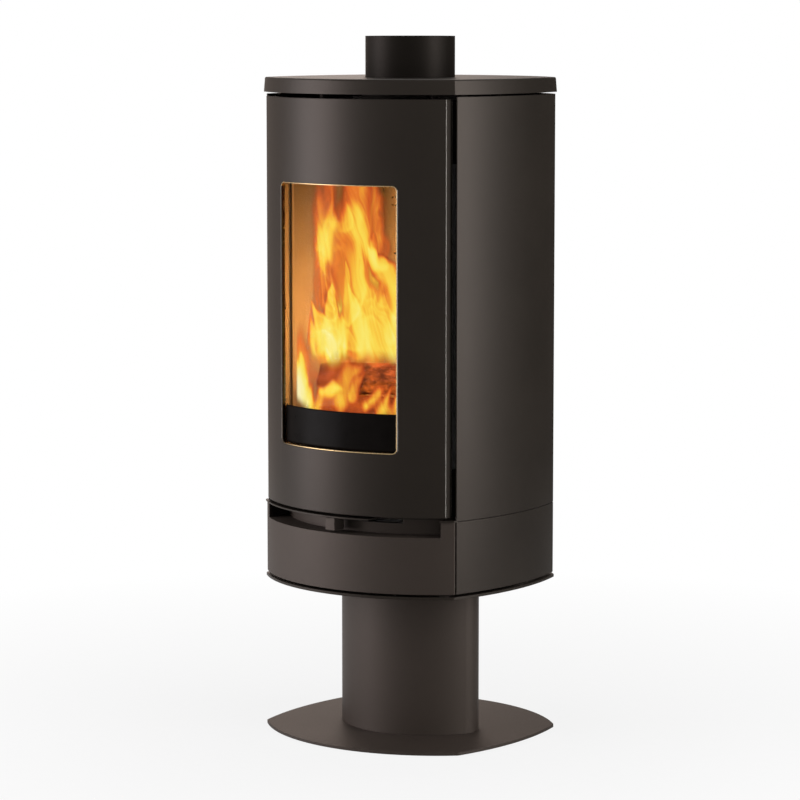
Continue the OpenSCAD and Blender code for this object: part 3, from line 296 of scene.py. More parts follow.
def grainy_finish(name, colour, roughness, grain, depth, gloss, spread=0.12, cloud=9.0, edge=0.0, edge_highlight_tone=0.0):
    """Painted or cast surface: cloudy tone, uneven gloss, a fine grain of the given pitch, soft edges.

    Edge highlight tone is a lighter colour painted on upright edges as a painted highlight, where the
    softened normal leaves the face's own.
    """
    coat = Finish(name)
    cloudy, fine = coat.noise(cloud, 3.0), coat.noise(1 / grain, 3.0, roughness=0.6)
    tone, rounded = coat.ramp(cloudy, *shades(colour, spread)), None
    if edge:
        rounded = coat.add("Bevel", {"Radius": edge}, samples=4).outputs["Normal"]
    # Painted highlight: a lighter tone on upright edges, where the softened normal turns away from the face's
    # own
    if edge_highlight_tone:
        flat = coat.add("NewGeometry").outputs["True Normal"]
        turn = coat.add("VectorMath", {0: rounded, 1: flat}, operation="DOT_PRODUCT").outputs["Value"]
        tipped = coat.maths("ABSOLUTE", coat.add("SeparateXYZ", {"Vector": rounded}).outputs["Z"])
        bent, upright = coat.scaled(turn, 0.985, 0.92), coat.scaled(tipped, 0.05, 0.20, 1.0, 0.0)
        painted_edge_highlight = coat.maths("MULTIPLY", bent, upright)
        tone = coat.mixed(painted_edge_highlight, tone, (edge_highlight_tone, 0.95 * edge_highlight_tone, 0.88 * edge_highlight_tone, 1))
    return coat.surface({
        "Base Color": tone,
        "Roughness": coat.uneven(fine, roughness - 0.06, roughness + 0.06),
        "Normal": coat.bump(fine, depth, rounded),
        "Specular IOR Level": gloss,
        "Specular Tint": (1.0, 0.84, 0.74, 1),
    })


def tint(name, description, default):
    """Setting for a colour."""
    return bpy.props.FloatVectorProperty(
        name=name, description=description, subtype="COLOR", size=3, min=0, max=1, default=default)


def amount(name, description, default, least, most, **kind):
    """Setting for a number, with its unit or subtype."""
    return bpy.props.FloatProperty(
        name=name, description=description, default=default, min=least, max=most, **kind)


class StoveFinishSettings(bpy.types.PropertyGroup):
    """Colours of the body."""
    paint: tint("Paint", "Heat-proof paint of the shell", (0.0115, 0.0094, 0.0074))
    paint_roughness: amount("Paint roughness", "How matt the paint is", 0.42, 0.2, 0.9, subtype="FACTOR")
    casting: tint("Cast iron", "Bare castings behind the door", (0.050, 0.045, 0.040))
    steel: tint("Steel", "Bare sheet steel and fixings", (0.30, 0.29, 0.28))
    zinc: tint("Zinc", "Galvanised heat shields", (0.40, 0.40, 0.39))
    board: tint("Lining board", "Vermiculite boards round the fire", (0.42, 0.295, 0.140))
    brass: tint("Brass", "Hinge bushes", (0.62, 0.44, 0.16))
    rope: tint("Rope", "Door seal and glass gasket", (0.42, 0.31, 0.17))


class StoveWindowSettings(bpy.types.PropertyGroup):
    """Window trim and the dark band on the glass."""
    width: amount("Window width", "Width of the opening in the door skin", 0.250, 0.2, 0.3, unit="LENGTH")
    height: amount("Window height", "Height of the same opening", 0.449, 0.3, 0.5, unit="LENGTH")
    corner: amount("Corner radius", "Corner radius of the opening", 0.009, 0.004, 0.014, unit="LENGTH")
    rim: amount("Rim thickness", "Thickness of the metal trim", 0.0018, 0.0008, 0.004, unit="LENGTH")
    band: amount("Band height", "Height of the dark band on the glass", 0.067, 0.03, 0.12, unit="LENGTH")
    rim_colour: tint("Rim colour", "Colour of the metal trim", (0.46, 0.33, 0.17))
    band_colour: tint("Band colour", "Colour of the dark band", (0.006, 0.005, 0.0045))


class StoveFireSettings(bpy.types.PropertyGroup):
    """Logs, embers and flames."""
    bark: tint("Bark", "Charring bark of the logs", (0.080, 0.028, 0.014))
    wood: tint("Split wood", "Split faces of the logs", (0.24, 0.075, 0.032))
    glow: tint("Glow", "Glowing cracks and embers", (1.0, 0.20, 0.025))
    glow_strength: amount("Glow strength", "Brightness of the glowing parts", 1.1, 0, 4)
    flame_strength: amount("Flame strength", "Brightness of the flames", 1.0, 0, 4)
    firelight: amount("Firelight", "Power of the lamp in the fire", 2.6, 0, 50, unit="POWER")


class StoveStageSettings(bpy.types.PropertyGroup):
    """Camera, lamps and backdrop."""
    camera_place: bpy.props.FloatVectorProperty(
        name="Camera place", description="Where the camera stands", subtype="TRANSLATION", unit="LENGTH",
        size=3, default=(3.37227, -4.38958, 1.23865))
    camera_pitch: amount("Camera pitch", "How far the camera looks down", 0.119275, 0, 1,
                         subtype="ANGLE", unit="ROTATION")
    camera_heading: amount("Camera heading", "Turn about the upright", 0.658230, -3.15, 3.15,
                           subtype="ANGLE", unit="ROTATION")
    lens: amount("Lens", "Focal length on a 36 mm sensor", 144.278, 20, 300, unit="CAMERA")
    left_lamp: amount("Left lamp", "Power of the large softbox on the left", 58, 0, 400, unit="POWER")
    right_lamp: amount("Right lamp", "Power of the large softbox on the right", 52, 0, 400, unit="POWER")
    ambient: amount("Ambient", "Soft light from all round", 0.25, 0, 2)


SETTINGS = {
    "stove_finish": StoveFinishSettings,
    "stove_window": StoveWindowSettings,
    "stove_fire": StoveFireSettings,
    "stove_stage": StoveStageSettings,
}

PAINTED = [
    "bottom_plate", "lower_rear_panel", "lower_side_panel_left", "lower_side_panel_right",
    "rear_panel", "shelf_plate", "side_panel_left", "side_panel_right", "top_plate", "top_plate_posts",
]
SOFT_PAINTED = ["air_lever_knob", "base_plate", "column", "lower_front_panel", "slot_pocket"]
CASTINGS = [
    "ash_pan_front", "baffle_upper", "firebox", "flue_collar", "grate",
    "hinge_bracket_lower", "hinge_bracket_upper", "latch_catches", "log_guard",
]
# Parts that get the pale tan band round the fire opening: partly ash dust, partly painted firelight
FIRELIT_DUSTED = ["clip_screws", "door_frame", "front_frame", "glass_clips"]
STEEL = [
    "air_box", "air_duct", "air_lever", "air_lever_pin", "ash_box", "ash_pan",
    "column_bolts", "column_flanges", "hinge_pins", "latch_hooks", "latch_lever", "latch_rod",
    "shield_bolts", "support_left", "support_right",
]
SHIELDS = ["rear_heat_shield", "side_shield_left", "side_shield_right"]
BOARDS = [
    "baffle_lower", "lining_back_lower", "lining_back_upper", "lining_base", "lining_left", "lining_right",
]
ROPES = ["door_rope_seal", "glass_gasket"]


class STOVE_OT_paint(bpy.types.Operator):
    """Paint the shell, the column, the plates and the flue"""
    bl_idname = "stove.paint"
    bl_label = "Paint the shell"

    def execute(self, context):
        look = context.scene.stove_finish
        matt, spray = look.paint_roughness, {"grain": 0.0011, "depth": 0.00005, "gloss": 0.20}
        satin = grainy_finish("satin_heat_paint", look.paint, matt, edge=0.0010, **spray)
        coat_nodes(satin, *PAINTED)
        # Door skin paint with a painted highlight on its upright edges and bend
        painted_edge_highlight = grainy_finish("satin_door_paint", look.paint, matt, edge=0.0022, edge_highlight_tone=0.42, **spray)
        coat_nodes(painted_edge_highlight, "door_skin")
        # Lighter, warmer copy of the shell paint for the lower parts and column: partly their own matt brown
        # finish, partly painted light for the extra light on them
        brown_with_painted_light = [a * b for a, b in zip(look.paint, (1.3, 1.15, 1.15))]
        soft = grainy_finish("soft_paint_painted_lighter", brown_with_painted_light, matt + 0.16, grain=0.0011, depth=0.00006, gloss=0.44,
                             edge=0.0010)
        coat_nodes(soft, *SOFT_PAINTED)
        black = [0.45 * c for c in look.paint]
        coat_nodes(grainy_finish("matt_flue_paint", black, 0.5, grain=0.0013, depth=0.00006, gloss=0.10),
                   "flue_pipe")
        return {"FINISHED"}


class STOVE_OT_castings(bpy.types.Operator):
    """Give the castings their sand-cast skin"""
    bl_idname = "stove.castings"
    bl_label = "Finish the castings"

    def execute(self, context):
        look = context.scene.stove_finish
        cast = grainy_finish("sand_cast_iron", look.casting, 0.68, grain=0.0022, depth=0.00016, gloss=0.3,
                             spread=0.3, cloud=22.0)
        coat_nodes(cast, *CASTINGS)
        coat_nodes(self.firelit_dusted_iron(look), *FIRELIT_DUSTED)
        return {"FINISHED"}

    def firelit_dusted_iron(self, look):
        """Cast iron with a pale tan band round the fire opening, gone 10 to 20 mm further out: partly ash
        baked on, partly painted firelight on the jamb.

        Distance from it = the larger of |x| - half its width and |z - its middle| - half its height.
        """
        coat = Finish("firelit_ash_dusted_iron")
        fine, cloudy = coat.noise(450, 3.0, roughness=0.6), coat.noise(40, 4.0)
        across, _, height = coat.axes()
        past = []
        for value, low, high in ((across, -OPENING_HALF, OPENING_HALF),
                                 (height, LEFT_BOARD_LO.z, LEFT_BOARD_HI.z)):
            centred = coat.maths("ABSOLUTE", coat.maths("SUBTRACT", value, (low + high) / 2))
            past.append(coat.maths("SUBTRACT", centred, (high - low) / 2))
        ragged = coat.maths("MULTIPLY_ADD", cloudy, 0.016, coat.maths("MAXIMUM", *past))
        # Pale tan where ash is 1: partly ash dust, partly painted firelight on the jamb
        ash = coat.scaled(ragged, 0.013, 0.024, 1.0, 0.0)
        iron = coat.ramp(cloudy, *shades(look.casting, 0.3))
        firelit_dust = coat.ramp(fine, *shades([0.90 * c for c in look.board], 0.06))
        return coat.surface({
            "Base Color": coat.mixed(ash, iron, firelit_dust),
            "Roughness": coat.uneven(fine, 0.66, 0.84),
            "Normal": coat.bump(fine, 0.00005), "Specular IOR Level": 0.2,
        })


class STOVE_OT_metals(bpy.types.Operator):
    """Finish the bare steel, the brass bushes and the rope seals"""
    bl_idname = "stove.metals"
    bl_label = "Finish steel, brass and rope"

    def execute(self, context):
        look = context.scene.stove_finish
        coat_nodes(self.rolled_steel("rolled_steel", look.steel, 0.38), *STEEL)
        coat_nodes(self.rolled_steel("dull_zinc", look.zinc, 0.55, bare=0.2), *SHIELDS)
        coat_nodes(self.rolled_steel("turned_brass", look.brass, 0.30), "hinge_bushes")
        coat_nodes(self.woven_rope("braided_glass_rope", look.rope), *ROPES)
        return {"FINISHED"}

    def rolled_steel(self, name, colour, roughness, bare=1.0):
        """Metal with faint rolling lines along Z and a cloudy oxide tone."""
        coat = Finish(name)
        lines, cloudy = coat.noise(60, 4.0, stretch=(12, 12, 1)), coat.noise(16, 3.0)
        return coat.surface({
            "Base Color": coat.ramp(cloudy, *shades(colour, 0.22)),
            "Roughness": coat.uneven(lines, roughness - 0.08, roughness + 0.12),
            "Normal": coat.bump(lines, 0.00003),
            "Metallic": bare,
        })

    def woven_rope(self, name, colour):
        """Braid: two crossed diagonal waves make the plait, noise makes the loose fibres."""
        coat = Finish(name)
        strands = []
        for turn in (0.9, -0.9):
            turned = coat.add("Mapping", {"Vector": coat.place(), "Rotation": (turn, 0.4 * turn, turn)})
            wave = {"Vector": turned.outputs["Vector"], "Scale": 95.0, "Distortion": 0.6}
            strands.append(coat.add("TexWave", wave).outputs["Fac"])
        plait = coat.maths("MAXIMUM", *strands)
        fibres = coat.noise(1400, 2.0)
        return coat.surface({
            "Base Color": coat.ramp(plait, *shades(colour, 0.4), 0.1, 0.9),
            "Roughness": 0.95, "Specular IOR Level": 0.15,
            "Normal": coat.bump(coat.maths("ADD", plait, fibres), 0.0007),
        })


class STOVE_OT_lining(bpy.types.Operator):
    """Finish the vermiculite boards round the fire"""
    bl_idname = "stove.lining"
    bl_label = "Finish the lining"

    def execute(self, context):
        """Pressed board: flakes from small cells, shallow pits, sooty clouds, darker high up by the hinges.
        """
        look = context.scene.stove_finish
        coat = Finish("pressed_vermiculite")
        flakes = coat.cells(coat.place(), 420.0)
        board = coat.ramp(flakes, *shades(look.board, 0.12), 0.0, 0.6)
        soot = coat.ramp(coat.noise(11, 4.0), (0.78, 0.74, 0.70), (1, 1, 1), 0.3, 0.6)
        sooted = coat.mixed(1.0, board, soot, "MULTIPLY")
        across, _, height = coat.axes()
        high_up = coat.scaled(height, HEARTH_HI.z + 0.18, BACK_HI.z + 0.20)
        hinge_side = coat.scaled(across, 0.004 - OPENING_HALF, 0.030 - OPENING_HALF, 1.0, 0.05)
        # Darker tan high up on the hinge side of the boards
        darker_high_by_hinges = coat.maths("MULTIPLY", high_up, hinge_side)
        coat_nodes(coat.surface({
            "Base Color": coat.mixed(darker_high_by_hinges, sooted, (0.15, 0.105, 0.045, 1)),
            "Roughness": 0.92, "Specular IOR Level": 0.2,
            "Normal": coat.bump(flakes, 0.0004),
        }), *BOARDS)
        return {"FINISHED"}


def rounded_outline(width, height, corner, steps):
    """Rounded rectangle as points (across, up): a quarter circle at each corner, straight runs in pieces."""
    points = []
    a, b = width / 2 - corner, height / 2 - corner
    for turn, (cx, cz) in enumerate([(a, b), (-a, b), (-a, -b), (a, -b)]):
        angle = np.radians(np.linspace(90 * turn, 90 * turn + 90, steps))
        points.append(np.stack([cx + corner * np.cos(angle), cz + corner * np.sin(angle)], -1))
    whole = []
    for run, after in zip(points, points[1:] + points[:1]):
        gap = np.linspace(0, 1, 26)[1:-1, None]
        whole += [run, run[-1] * (1 - gap) + after[0] * gap]
    return np.concatenate(whole)


def on_front(across, radius, up):
    """Points of the curved front, on the circle of that radius about its centre line."""
    return np.stack([across, FRONT_CENTRE - np.sqrt(radius ** 2 - across ** 2), up + 0 * across], -1)


class STOVE_OT_window(bpy.types.Operator):
    """Glaze the window and add its metal trim and dark band"""
    bl_idname = "stove.window"
    bl_label = "Glaze the window"

    def execute(self, context):
        look = context.scene.stove_window
        self.glass()
        self.rim(look)
        self.band(look)
        return {"FINISHED"}

    def glass(self):
        """Clear ceramic glass, faintly brown, with a slight waviness."""
        coat = Finish("clear_ceramic_glass")
        coat_nodes(coat.surface({
            "Base Color": (0.96, 0.93, 0.88, 1),
            "Roughness": 0.02, "Transmission Weight": 1.0, "IOR": 1.04, "Specular IOR Level": 0.0,
            "Normal": coat.bump(coat.noise(18, 1.0), 0.00002),
        }), "door_glass")

    def rim(self, look):
        """Trim: a rounded bar section carried round the opening's outline, on the curved front.

        The upright beside the hinges, up to the corner, is painted dark brown: painted shade on the inner
        reveal.
        """
        play, bevel, steps = 0.0002, 0.0005, 9
        middle = (GLASS_LO.z + GLASS_HI.z) / 2
        width, height = look.width - play, look.height - play
        outline = rounded_outline(width, height, look.corner, steps)
        inset = rounded_outline(width - 2 * look.rim, height - 2 * look.rim, look.corner - look.rim, steps)
        back, front = GLASS_RADIUS + 0.0003, SKIN_RADIUS - play
        share = bevel / look.rim
        section = [(0, back), (0, front - bevel), (share, front),
                   (1 - share, front), (1, front - bevel), (1, back)]
        rings = []
        for inward, radius in section:
            line = outline * (1 - inward) + inset * inward
            rings.append(on_front(line[:, 0], radius, line[:, 1] + middle))
        mesh = build_mesh("window_rim", *closed_tube(np.stack(rings, 1), wrap_rows=True))
        coat = Finish("champagne_trim")
        brushed = coat.noise(500, 2.0)
        across, _, upward = coat.axes()
        side, top = look.width / 2, middle + look.height / 2
        past_hinges = coat.scaled(across, 0.004 - side, 0.030 - side)
        above = coat.scaled(upward, top - look.corner, top - 0.4 * look.corner)
        # Painted shade: dark brown on the upright by the hinges below the corner, metal elsewhere
        unshaded_trim = coat.maths("MAXIMUM", past_hinges, above)
        metal = coat.ramp(brushed, *shades(look.rim_colour, 0.06))
        material = coat.surface({
            "Base Color": coat.mixed(unshaded_trim, (0.05, 0.04, 0.03, 1), metal),
            "Roughness": coat.uneven(brushed, 0.22, 0.34),
            "Metallic": 1.0,
        })
        add_piece("window_rim", mesh, material, "door")

    def band(self, look):
        """Dark band: a thin curved shell before the glass, from the opening's foot to the band height."""
        gap, corner = 0.0006, look.corner - look.rim
        foot = (GLASS_LO.z + GLASS_HI.z) / 2 - look.height / 2 + look.rim
        half = look.width / 2 - look.rim - gap
        across = np.linspace(-half, half, 49)
        up = np.linspace(foot + gap, foot - look.rim + look.band, 15)
        drop = np.maximum(0, corner - (half - np.abs(across)))
        bottom = up[0] + corner - np.sqrt(np.maximum(corner ** 2 - drop ** 2, 0))
        share = ((up - up[0]) / (up[-1] - up[0]))[:, None]
        heights = bottom[None, :] * (1 - share) + up[-1] * share
        count = heights.size
        across = np.broadcast_to(across, heights.shape)
        sheets = [on_front(across, GLASS_RADIUS + out, heights).reshape(-1, 3) for out in (0.0001, 0.0004)]
        index = np.arange(count).reshape(heights.shape)
        edge = np.concatenate([index[0, :-1], index[:-1, -1], index[-1, :0:-1], index[:0:-1, 0]])
        back = grid_faces(*heights.shape)
        front = back[:, ::-1] + count
        after = np.roll(edge, -1)
        around = np.stack([edge, after, after + count, edge + count], -1)
        vertices = np.vstack(sheets)
        mesh = build_mesh("glass_band", vertices, *facing_out(vertices, np.vstack([back, front, around])))
        coat = Finish("dark_glass_band")
        smear = coat.noise(30, 3.0)
        material = coat.surface({
            "Base Color": coat.ramp(smear, *shades(look.band_colour, 0.15)),
            "Roughness": coat.uneven(smear, 0.26, 0.36),
            "IOR": 1.10, "Specular IOR Level": 0.3,
        })
        add_piece("glass_band", mesh, material, "door")


def split_log(start, end, radius, turn, seed, wedge=0.35):
    """Split log: a round section cut by two flat faces at wedge times the radius, carried from start to end.

    Radius = min(bark circle, distance to each split face), plus ridged noise on the bark and
    long-grain noise on the split faces; the ends are sawn flat with a little tilt.
    Returns the rings of points and, for each point, how much of it is bark.
    """
    start, end = np.array(start), np.array(end)
    length = np.linalg.norm(end - start)
    axis = (end - start) / length
    side = np.cross(axis, (0, 0, 1))
    side /= np.linalg.norm(side)
    upward = np.cross(side, axis)
    along, around = np.linspace(0, 1, 150), np.linspace(0, 2 * np.pi, 120, endpoint=False)
    s, a = np.meshgrid(along, around, indexing="ij")
    face = np.full(a.shape, 9.0)
    for lean in (0.0, 2.1):
        cosine = np.cos(a - turn - lean)
        face = np.minimum(face, np.where(cosine > 0.05, wedge / np.maximum(cosine, 0.05), 9.0))
    circle = 1 + 0.05 * np.sin(2 * a + seed) + 0.03 * np.sin(3 * a + 2 * seed)
    x, y, z = s * length / 0.011, radius * np.cos(a) / 0.006, radius * np.sin(a) / 0.006
    ridges = 1 - np.abs(2 * layered_noise(x * 0.45, y, z, seed + 20) - 1)
    grain = layered_noise(x * 0.12, 2.2 * y, 2.2 * z, seed + 40)
    bark = soft_step(-0.04, 0.04, face - circle)
    reach = np.minimum(face, circle)
    reach = reach * (1 - 0.12 * bark * ridges - 0.07 * (1 - bark) * grain)
    taper = 1 - 0.05 * soft_step(0.96, 1.0, s) - 0.05 * soft_step(0.04, 0.0, s)
    reach = reach * taper * radius * (0.97 + 0.03 * np.cos(3 * s + seed))
    tilt = 0.04 * radius * (np.cos(a + seed) * (1 - s) - np.cos(a - seed) * s)
    centre = start + (s * length + tilt)[..., None] * axis
    bend = 0.05 * radius * np.sin(np.pi * s)
    points = centre + (reach * np.cos(a))[..., None] * side + (reach * np.sin(a) + bend)[..., None] * upward
    return points, bark


def burnt_wood(look):
    """Logs in the fire: bark or split wood by attribute, charred in patches, cracks that glow."""
    coat = Finish("burning_wood")
    state = coat.add("Attribute", attribute_name="log_state").outputs["Color"]
    barky, charring, hot = coat.add("SeparateColor", {"Color": state}).outputs
    fine, charred = coat.noise(240, 5.0, stretch=(0.25, 1, 1)), coat.noise(26, 4.0)
    wood, bark = coat.ramp(fine, *shades(look.wood, 0.45)), coat.ramp(fine, *shades(look.bark, 0.5))
    coal = coat.scaled(coat.maths("MULTIPLY", charred, charring), 0.22, 0.42)
    place = coat.place()
    bend = coat.add("TexNoise", {"Vector": place, "Scale": 45.0, "Detail": 3.0}).outputs["Color"]
    moved = coat.add("VectorMath", {0: bend, 1: (0.03, 0.03, 0.03), 2: place}, operation="MULTIPLY_ADD")
    drawn = coat.add("Mapping", {"Vector": moved.outputs["Vector"], "Scale": (0.45, 1, 1)})
    cracks = coat.cells(drawn.outputs["Vector"], 75.0, "DISTANCE_TO_EDGE")
    heat = coat.maths("MULTIPLY", coat.scaled(cracks, 0.0, 0.16, 0.30, 0.0), hot)
    warm = coat.maths("MULTIPLY", coat.maths("MULTIPLY", hot, 0.70), charred)
    return coat.surface({
        "Base Color": coat.mixed(coal, coat.mixed(barky, wood, bark), (0.055, 0.016, 0.009, 1)),
        "Roughness": 0.9, "Specular IOR Level": 0.2,
        "Normal": coat.bump(fine, 0.0012),
        "Emission Color": (*look.glow, 1),
        "Emission Strength": coat.maths("MULTIPLY", coat.maths("ADD", heat, warm), look.glow_strength),
    })


def log_layout():
    """Start, end, radius, turn and seed of each log: two along X, one across them at a slant."""
    ground, play, apart, lift = HEARTH_HI.z, 0.003, 0.090, 0.0413
    r, upper_r, slant, reach = 0.0405, 0.0345, math.radians(25), 0.128
    front_y = LOAD_LO.y + r + 0.0005
    back_y = front_y + apart
    left, right = LOAD_LO.x + play, LOAD_HI.x - play
    middle_y, top = (front_y + back_y) / 2, ground + lift + r + upper_r
    along, aside = reach * math.cos(slant), reach * math.sin(slant)
    return {
        "log_front": ((left, front_y, ground + r), (right, front_y + 0.002, ground + r), r, 2.0, 3),
        "log_back": ((left + 0.004, back_y, ground + r), (right - 0.004, back_y, ground + r), r, 2.4, 7),
        "log_top": ((-along, middle_y - aside, top), (along, middle_y + aside, top), upper_r, 0.9, 12),
    }


class STOVE_OT_logs(bpy.types.Operator):
    """Lay the burning logs"""
    bl_idname = "stove.logs"
    bl_label = "Lay the logs"

    def execute(self, context):
        material = burnt_wood(context.scene.stove_fire)
        for name, (start, end, radius, turn, seed) in log_layout().items():
            points, bark = split_log(start, end, radius, turn, seed)
            vertices, quads, caps = closed_tube(points)
            mesh = build_mesh(name, vertices, quads, caps)
            height = (vertices[:, 2] - points[..., 2].min()) / (2 * radius)
            flicker = layered_noise(*(vertices * 40).T, seed + 60)
            hot = np.clip(1.2 - 1.1 * height, 0, 1) * soft_step(0.35, 0.65, flicker)
            barky, charring = np.append(bark.reshape(-1), (0, 0)), np.clip(1.25 - 0.4 * height, 0, 1)
            store_colours(mesh, "log_state", np.stack([barky, charring, hot, np.ones_like(hot)], -1))
            add_piece(name, mesh, material, "root")
        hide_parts("firewood")
        return {"FINISHED"}


class STOVE_OT_embers(bpy.types.Operator):
    """Spread the bed of embers over the hearth"""
    bl_idname = "stove.embers"
    bl_label = "Spread the embers"

    def execute(self, context):
        """Closed mound: rings shrink towards the middle, lumpy noise falls to nothing at the rim."""
        half_x, half_y = OPENING_HALF - 0.008, 0.088
        middle_y = GUARD_HI.y + 0.012 + half_y
        share, angle = np.linspace(0.0, 1.0, 70), np.linspace(0, 2 * np.pi, 150, endpoint=False)
        q, a = np.meshgrid(share, angle, indexing="ij")
        square = 1 / np.maximum(np.abs(np.cos(a)), np.abs(np.sin(a)))
        shape = 1 + 0.75 * (square - 1)
        x = half_x * q * shape * np.cos(a) * 0.98
        y = middle_y + half_y * q * shape * np.sin(a) * 0.98
        lumps = layered_noise(x / 0.016, y / 0.016, 0 * x, 90, 4)
        ridge = 1 - np.abs(2 * layered_noise(x / 0.010, y / 0.010, 0 * x, 95, 3) - 1)
        fall = soft_step(1.0, 0.72, q)
        z = HEARTH_HI.z + 0.0006 + fall * (0.004 + 0.014 * lumps + 0.008 * ridge)
        mound = np.stack([x, y, z], -1)[1:]
        underside = mound[-1:] * (1, 1, 0) + (0, 0, HEARTH_HI.z + 0.0002)
        mesh = build_mesh("ember_bed", *closed_tube(np.concatenate([mound, underside])))
        add_piece("ember_bed", mesh, self.coals(context.scene.stove_fire), "root")
        return {"FINISHED"}

    def coals(self, look):
        """Grey ash on top, orange glow in the cracks between the coals."""
        coat = Finish("glowing_coals")
        between = coat.scaled(coat.cells(coat.place(), 60.0), 0.25, 0.75)
        ash, patches = coat.noise(120, 4.0), coat.noise(22, 2.0)
        heat = coat.maths("MULTIPLY", between, patches)
        return coat.surface({
            "Base Color": coat.ramp(ash, (0.02, 0.014, 0.011), (0.16, 0.13, 0.11), 0.45, 0.75),
            "Roughness": 0.95, "Specular IOR Level": 0.1,
            "Normal": coat.bump(ash, 0.001),
            "Emission Color": (*look.glow, 1),
            "Emission Strength": coat.maths("MULTIPLY", heat, 3.2 * look.glow_strength),
        })


# Flames: x and z of a bent centre line's foot, bend and tip and half-width, in mm; heat, softness
BACK_FLAMES = [
    (-85, 660, -88, 800, -66, 1060, 36, 0.4, 1.0),
    (-40, 700, -45, 840, -30, 1080, 42, 0.5, 1.0),
    (10, 700, 16, 840, -4, 1100, 38, 0.56, 0.8),
    (0, 660, 10, 700, 30, 830, 100, 0.66, 1.0),
    (-30, 740, -34, 820, -22, 920, 56, 0.44, 1.0),
    (-90, 640, -80, 680, -66, 760, 44, 0.4, 1.0),
]
MAIN_FLAMES = [
    (-86, 760, -90, 880, -60, 1080, 34, 0.42, 1.0),
    (-50, 800, -58, 900, -40, 1060, 36, 0.48, 0.9),
    (22, 800, 26, 940, 8, 1140, 38, 0.54, 0.8),
    (-70, 840, -60, 900, -30, 940, 30, 0.46, 0.9),
    (-76, 850, -40, 905, -6, 872, 30, 0.44, 1.0),
    (-10, 872, 24, 884, 78, 824, 30, 0.78, 0.9),
    (-20, 780, -8, 820, -6, 875, 40, 0.52, 1.0),
    (50, 840, 55, 862, 52, 890, 12, 0.4, 0.6),
    (134, 640, 130, 770, 40, 862, 66, 1.45, 0.45),
    (66, 640, 52, 750, 8, 840, 56, 1.3, 0.8),
    (10, 660, 6, 720, -14, 820, 36, 0.85, 0.4),
    (-24, 650, -50, 700, -42, 798, 40, 1.25, 0.3),
    (-40, 670, -72, 705, -110, 755, 28, 1.1, 0.4),
    (-60, 650, -92, 680, -100, 730, 34, 0.7, 0.7),
    (-106, 670, -114, 700, -108, 745, 19, 0.7, 0.6),
    (-62, 740, -70, 800, -60, 870, 18, 0.34, 0.8),
    (-48, 850, -34, 885, -12, 925, 30, 0.42, 1.0),
    (34, 660, 20, 740, -10, 800, 20, 0.7, 0.3),
]
LOW_FLAMES = [
    (-122, 530, -120, 600, -108, 658, 46, 2.4, 0.7),
    (-102, 540, -90, 575, -78, 616, 26, 1.1, 0.9),
    (-136, 580, -124, 640, -104, 724, 46, 0.46, 1.0),
    (-104, 600, -98, 640, -84, 706, 40, 0.38, 1.0),
    (-56, 602, -26, 610, 8, 602, 14, 0.95, 1.0),
    (-70, 560, -56, 585, -40, 604, 16, 0.4, 1.0),
    (-6, 590, 14, 618, 58, 684, 25, 0.5, 1.0),
    (22, 596, 34, 620, 46, 648, 12, 0.4, 0.8),
    (-70, 630, 0, 640, 70, 650, 26, 0.26, 1.0),
    (-80, 570, 0, 590, 110, 580, 38, 0.3, 1.0),
    (50, 586, 64, 604, 86, 626, 16, 0.7, 1.0),
    (78, 550, 76, 590, 100, 630, 15, 0.85, 0.8),
    (104, 545, 98, 590, 116, 630, 18, 0.95, 0.8),
    (126, 600, 126, 640, 110, 700, 26, 0.4, 1.0),
]
# Sheets: name, radius, foot, top and half-width in metres, flames, seed, waviness, share of the veils
FLAME_SHEETS = [
    ("flame_back", 0.205, 0.634, 0.984, 0.134, BACK_FLAMES, 5, 0.050, 0.50),
    ("flame_main", 0.235, 0.636, 0.984, 0.134, MAIN_FLAMES, 15, 0.034, 0.62),
    ("flame_low", 0.2533, 0.546, 0.730, 0.138, LOW_FLAMES, 25, 0.022, 0.34),
]


def flame_heat(x, z, flames, seed):
    """Sum of the flames' heat at each point.

    u = distance to the bent centre line / half-width there, with a ragged edge from noise. A flame's
    heat is its strength at u = 0 and falls to nothing at u = 1, over a softness-wide edge. A soft
    flame is blunt and fades towards its tip.
    """
    heat = np.zeros_like(x)
    t = np.linspace(0, 1, 14)
    for number, (*line, width, strength, soft) in enumerate(flames):
        foot, bend, tip = np.reshape(line, (3, 2)) / 1000
        curve = ((1 - t) ** 2)[:, None] * foot + (2 * t * (1 - t))[:, None] * bend + (t ** 2)[:, None] * tip
        belly = 0.75 + 0.5 * np.sin(np.pi * np.clip(t * 1.15 + 0.08, 0, 1))
        wide = width / 1000 * (1 - t) ** (0.7 - 0.42 * soft) * belly + 0.0008
        u, along = np.full_like(x, 9.0), np.zeros_like(x)
        for step in range(len(t) - 1):
            start_x, start_z = curve[step]
            run_x, run_z = curve[step + 1] - curve[step]
            part = ((x - start_x) * run_x + (z - start_z) * run_z) / (run_x ** 2 + run_z ** 2)
            part = np.clip(part, 0, 1)
            across = np.hypot(x - start_x - part * run_x, 0.8 * (z - start_z - part * run_z))
            near = across / (wide[step] + part * (wide[step + 1] - wide[step]))
            along = np.where(near < u, (step + part) / (len(t) - 1), along)
            u = np.minimum(u, near)
        u = u + 0.75 * (layered_noise(x * 38 + number, z * 15, 0 * x, seed + 3 * number, 3) - 0.5)
        body = 1 - soft_step(0.75 - 0.75 * soft, 1.0, u)
        tired = 1 - soft * soft_step(0.55, 1.0, along)
        heat = heat + strength * tired * body * (0.8 + 0.2 * (1 - np.clip(u, 0, 1)))
    return heat


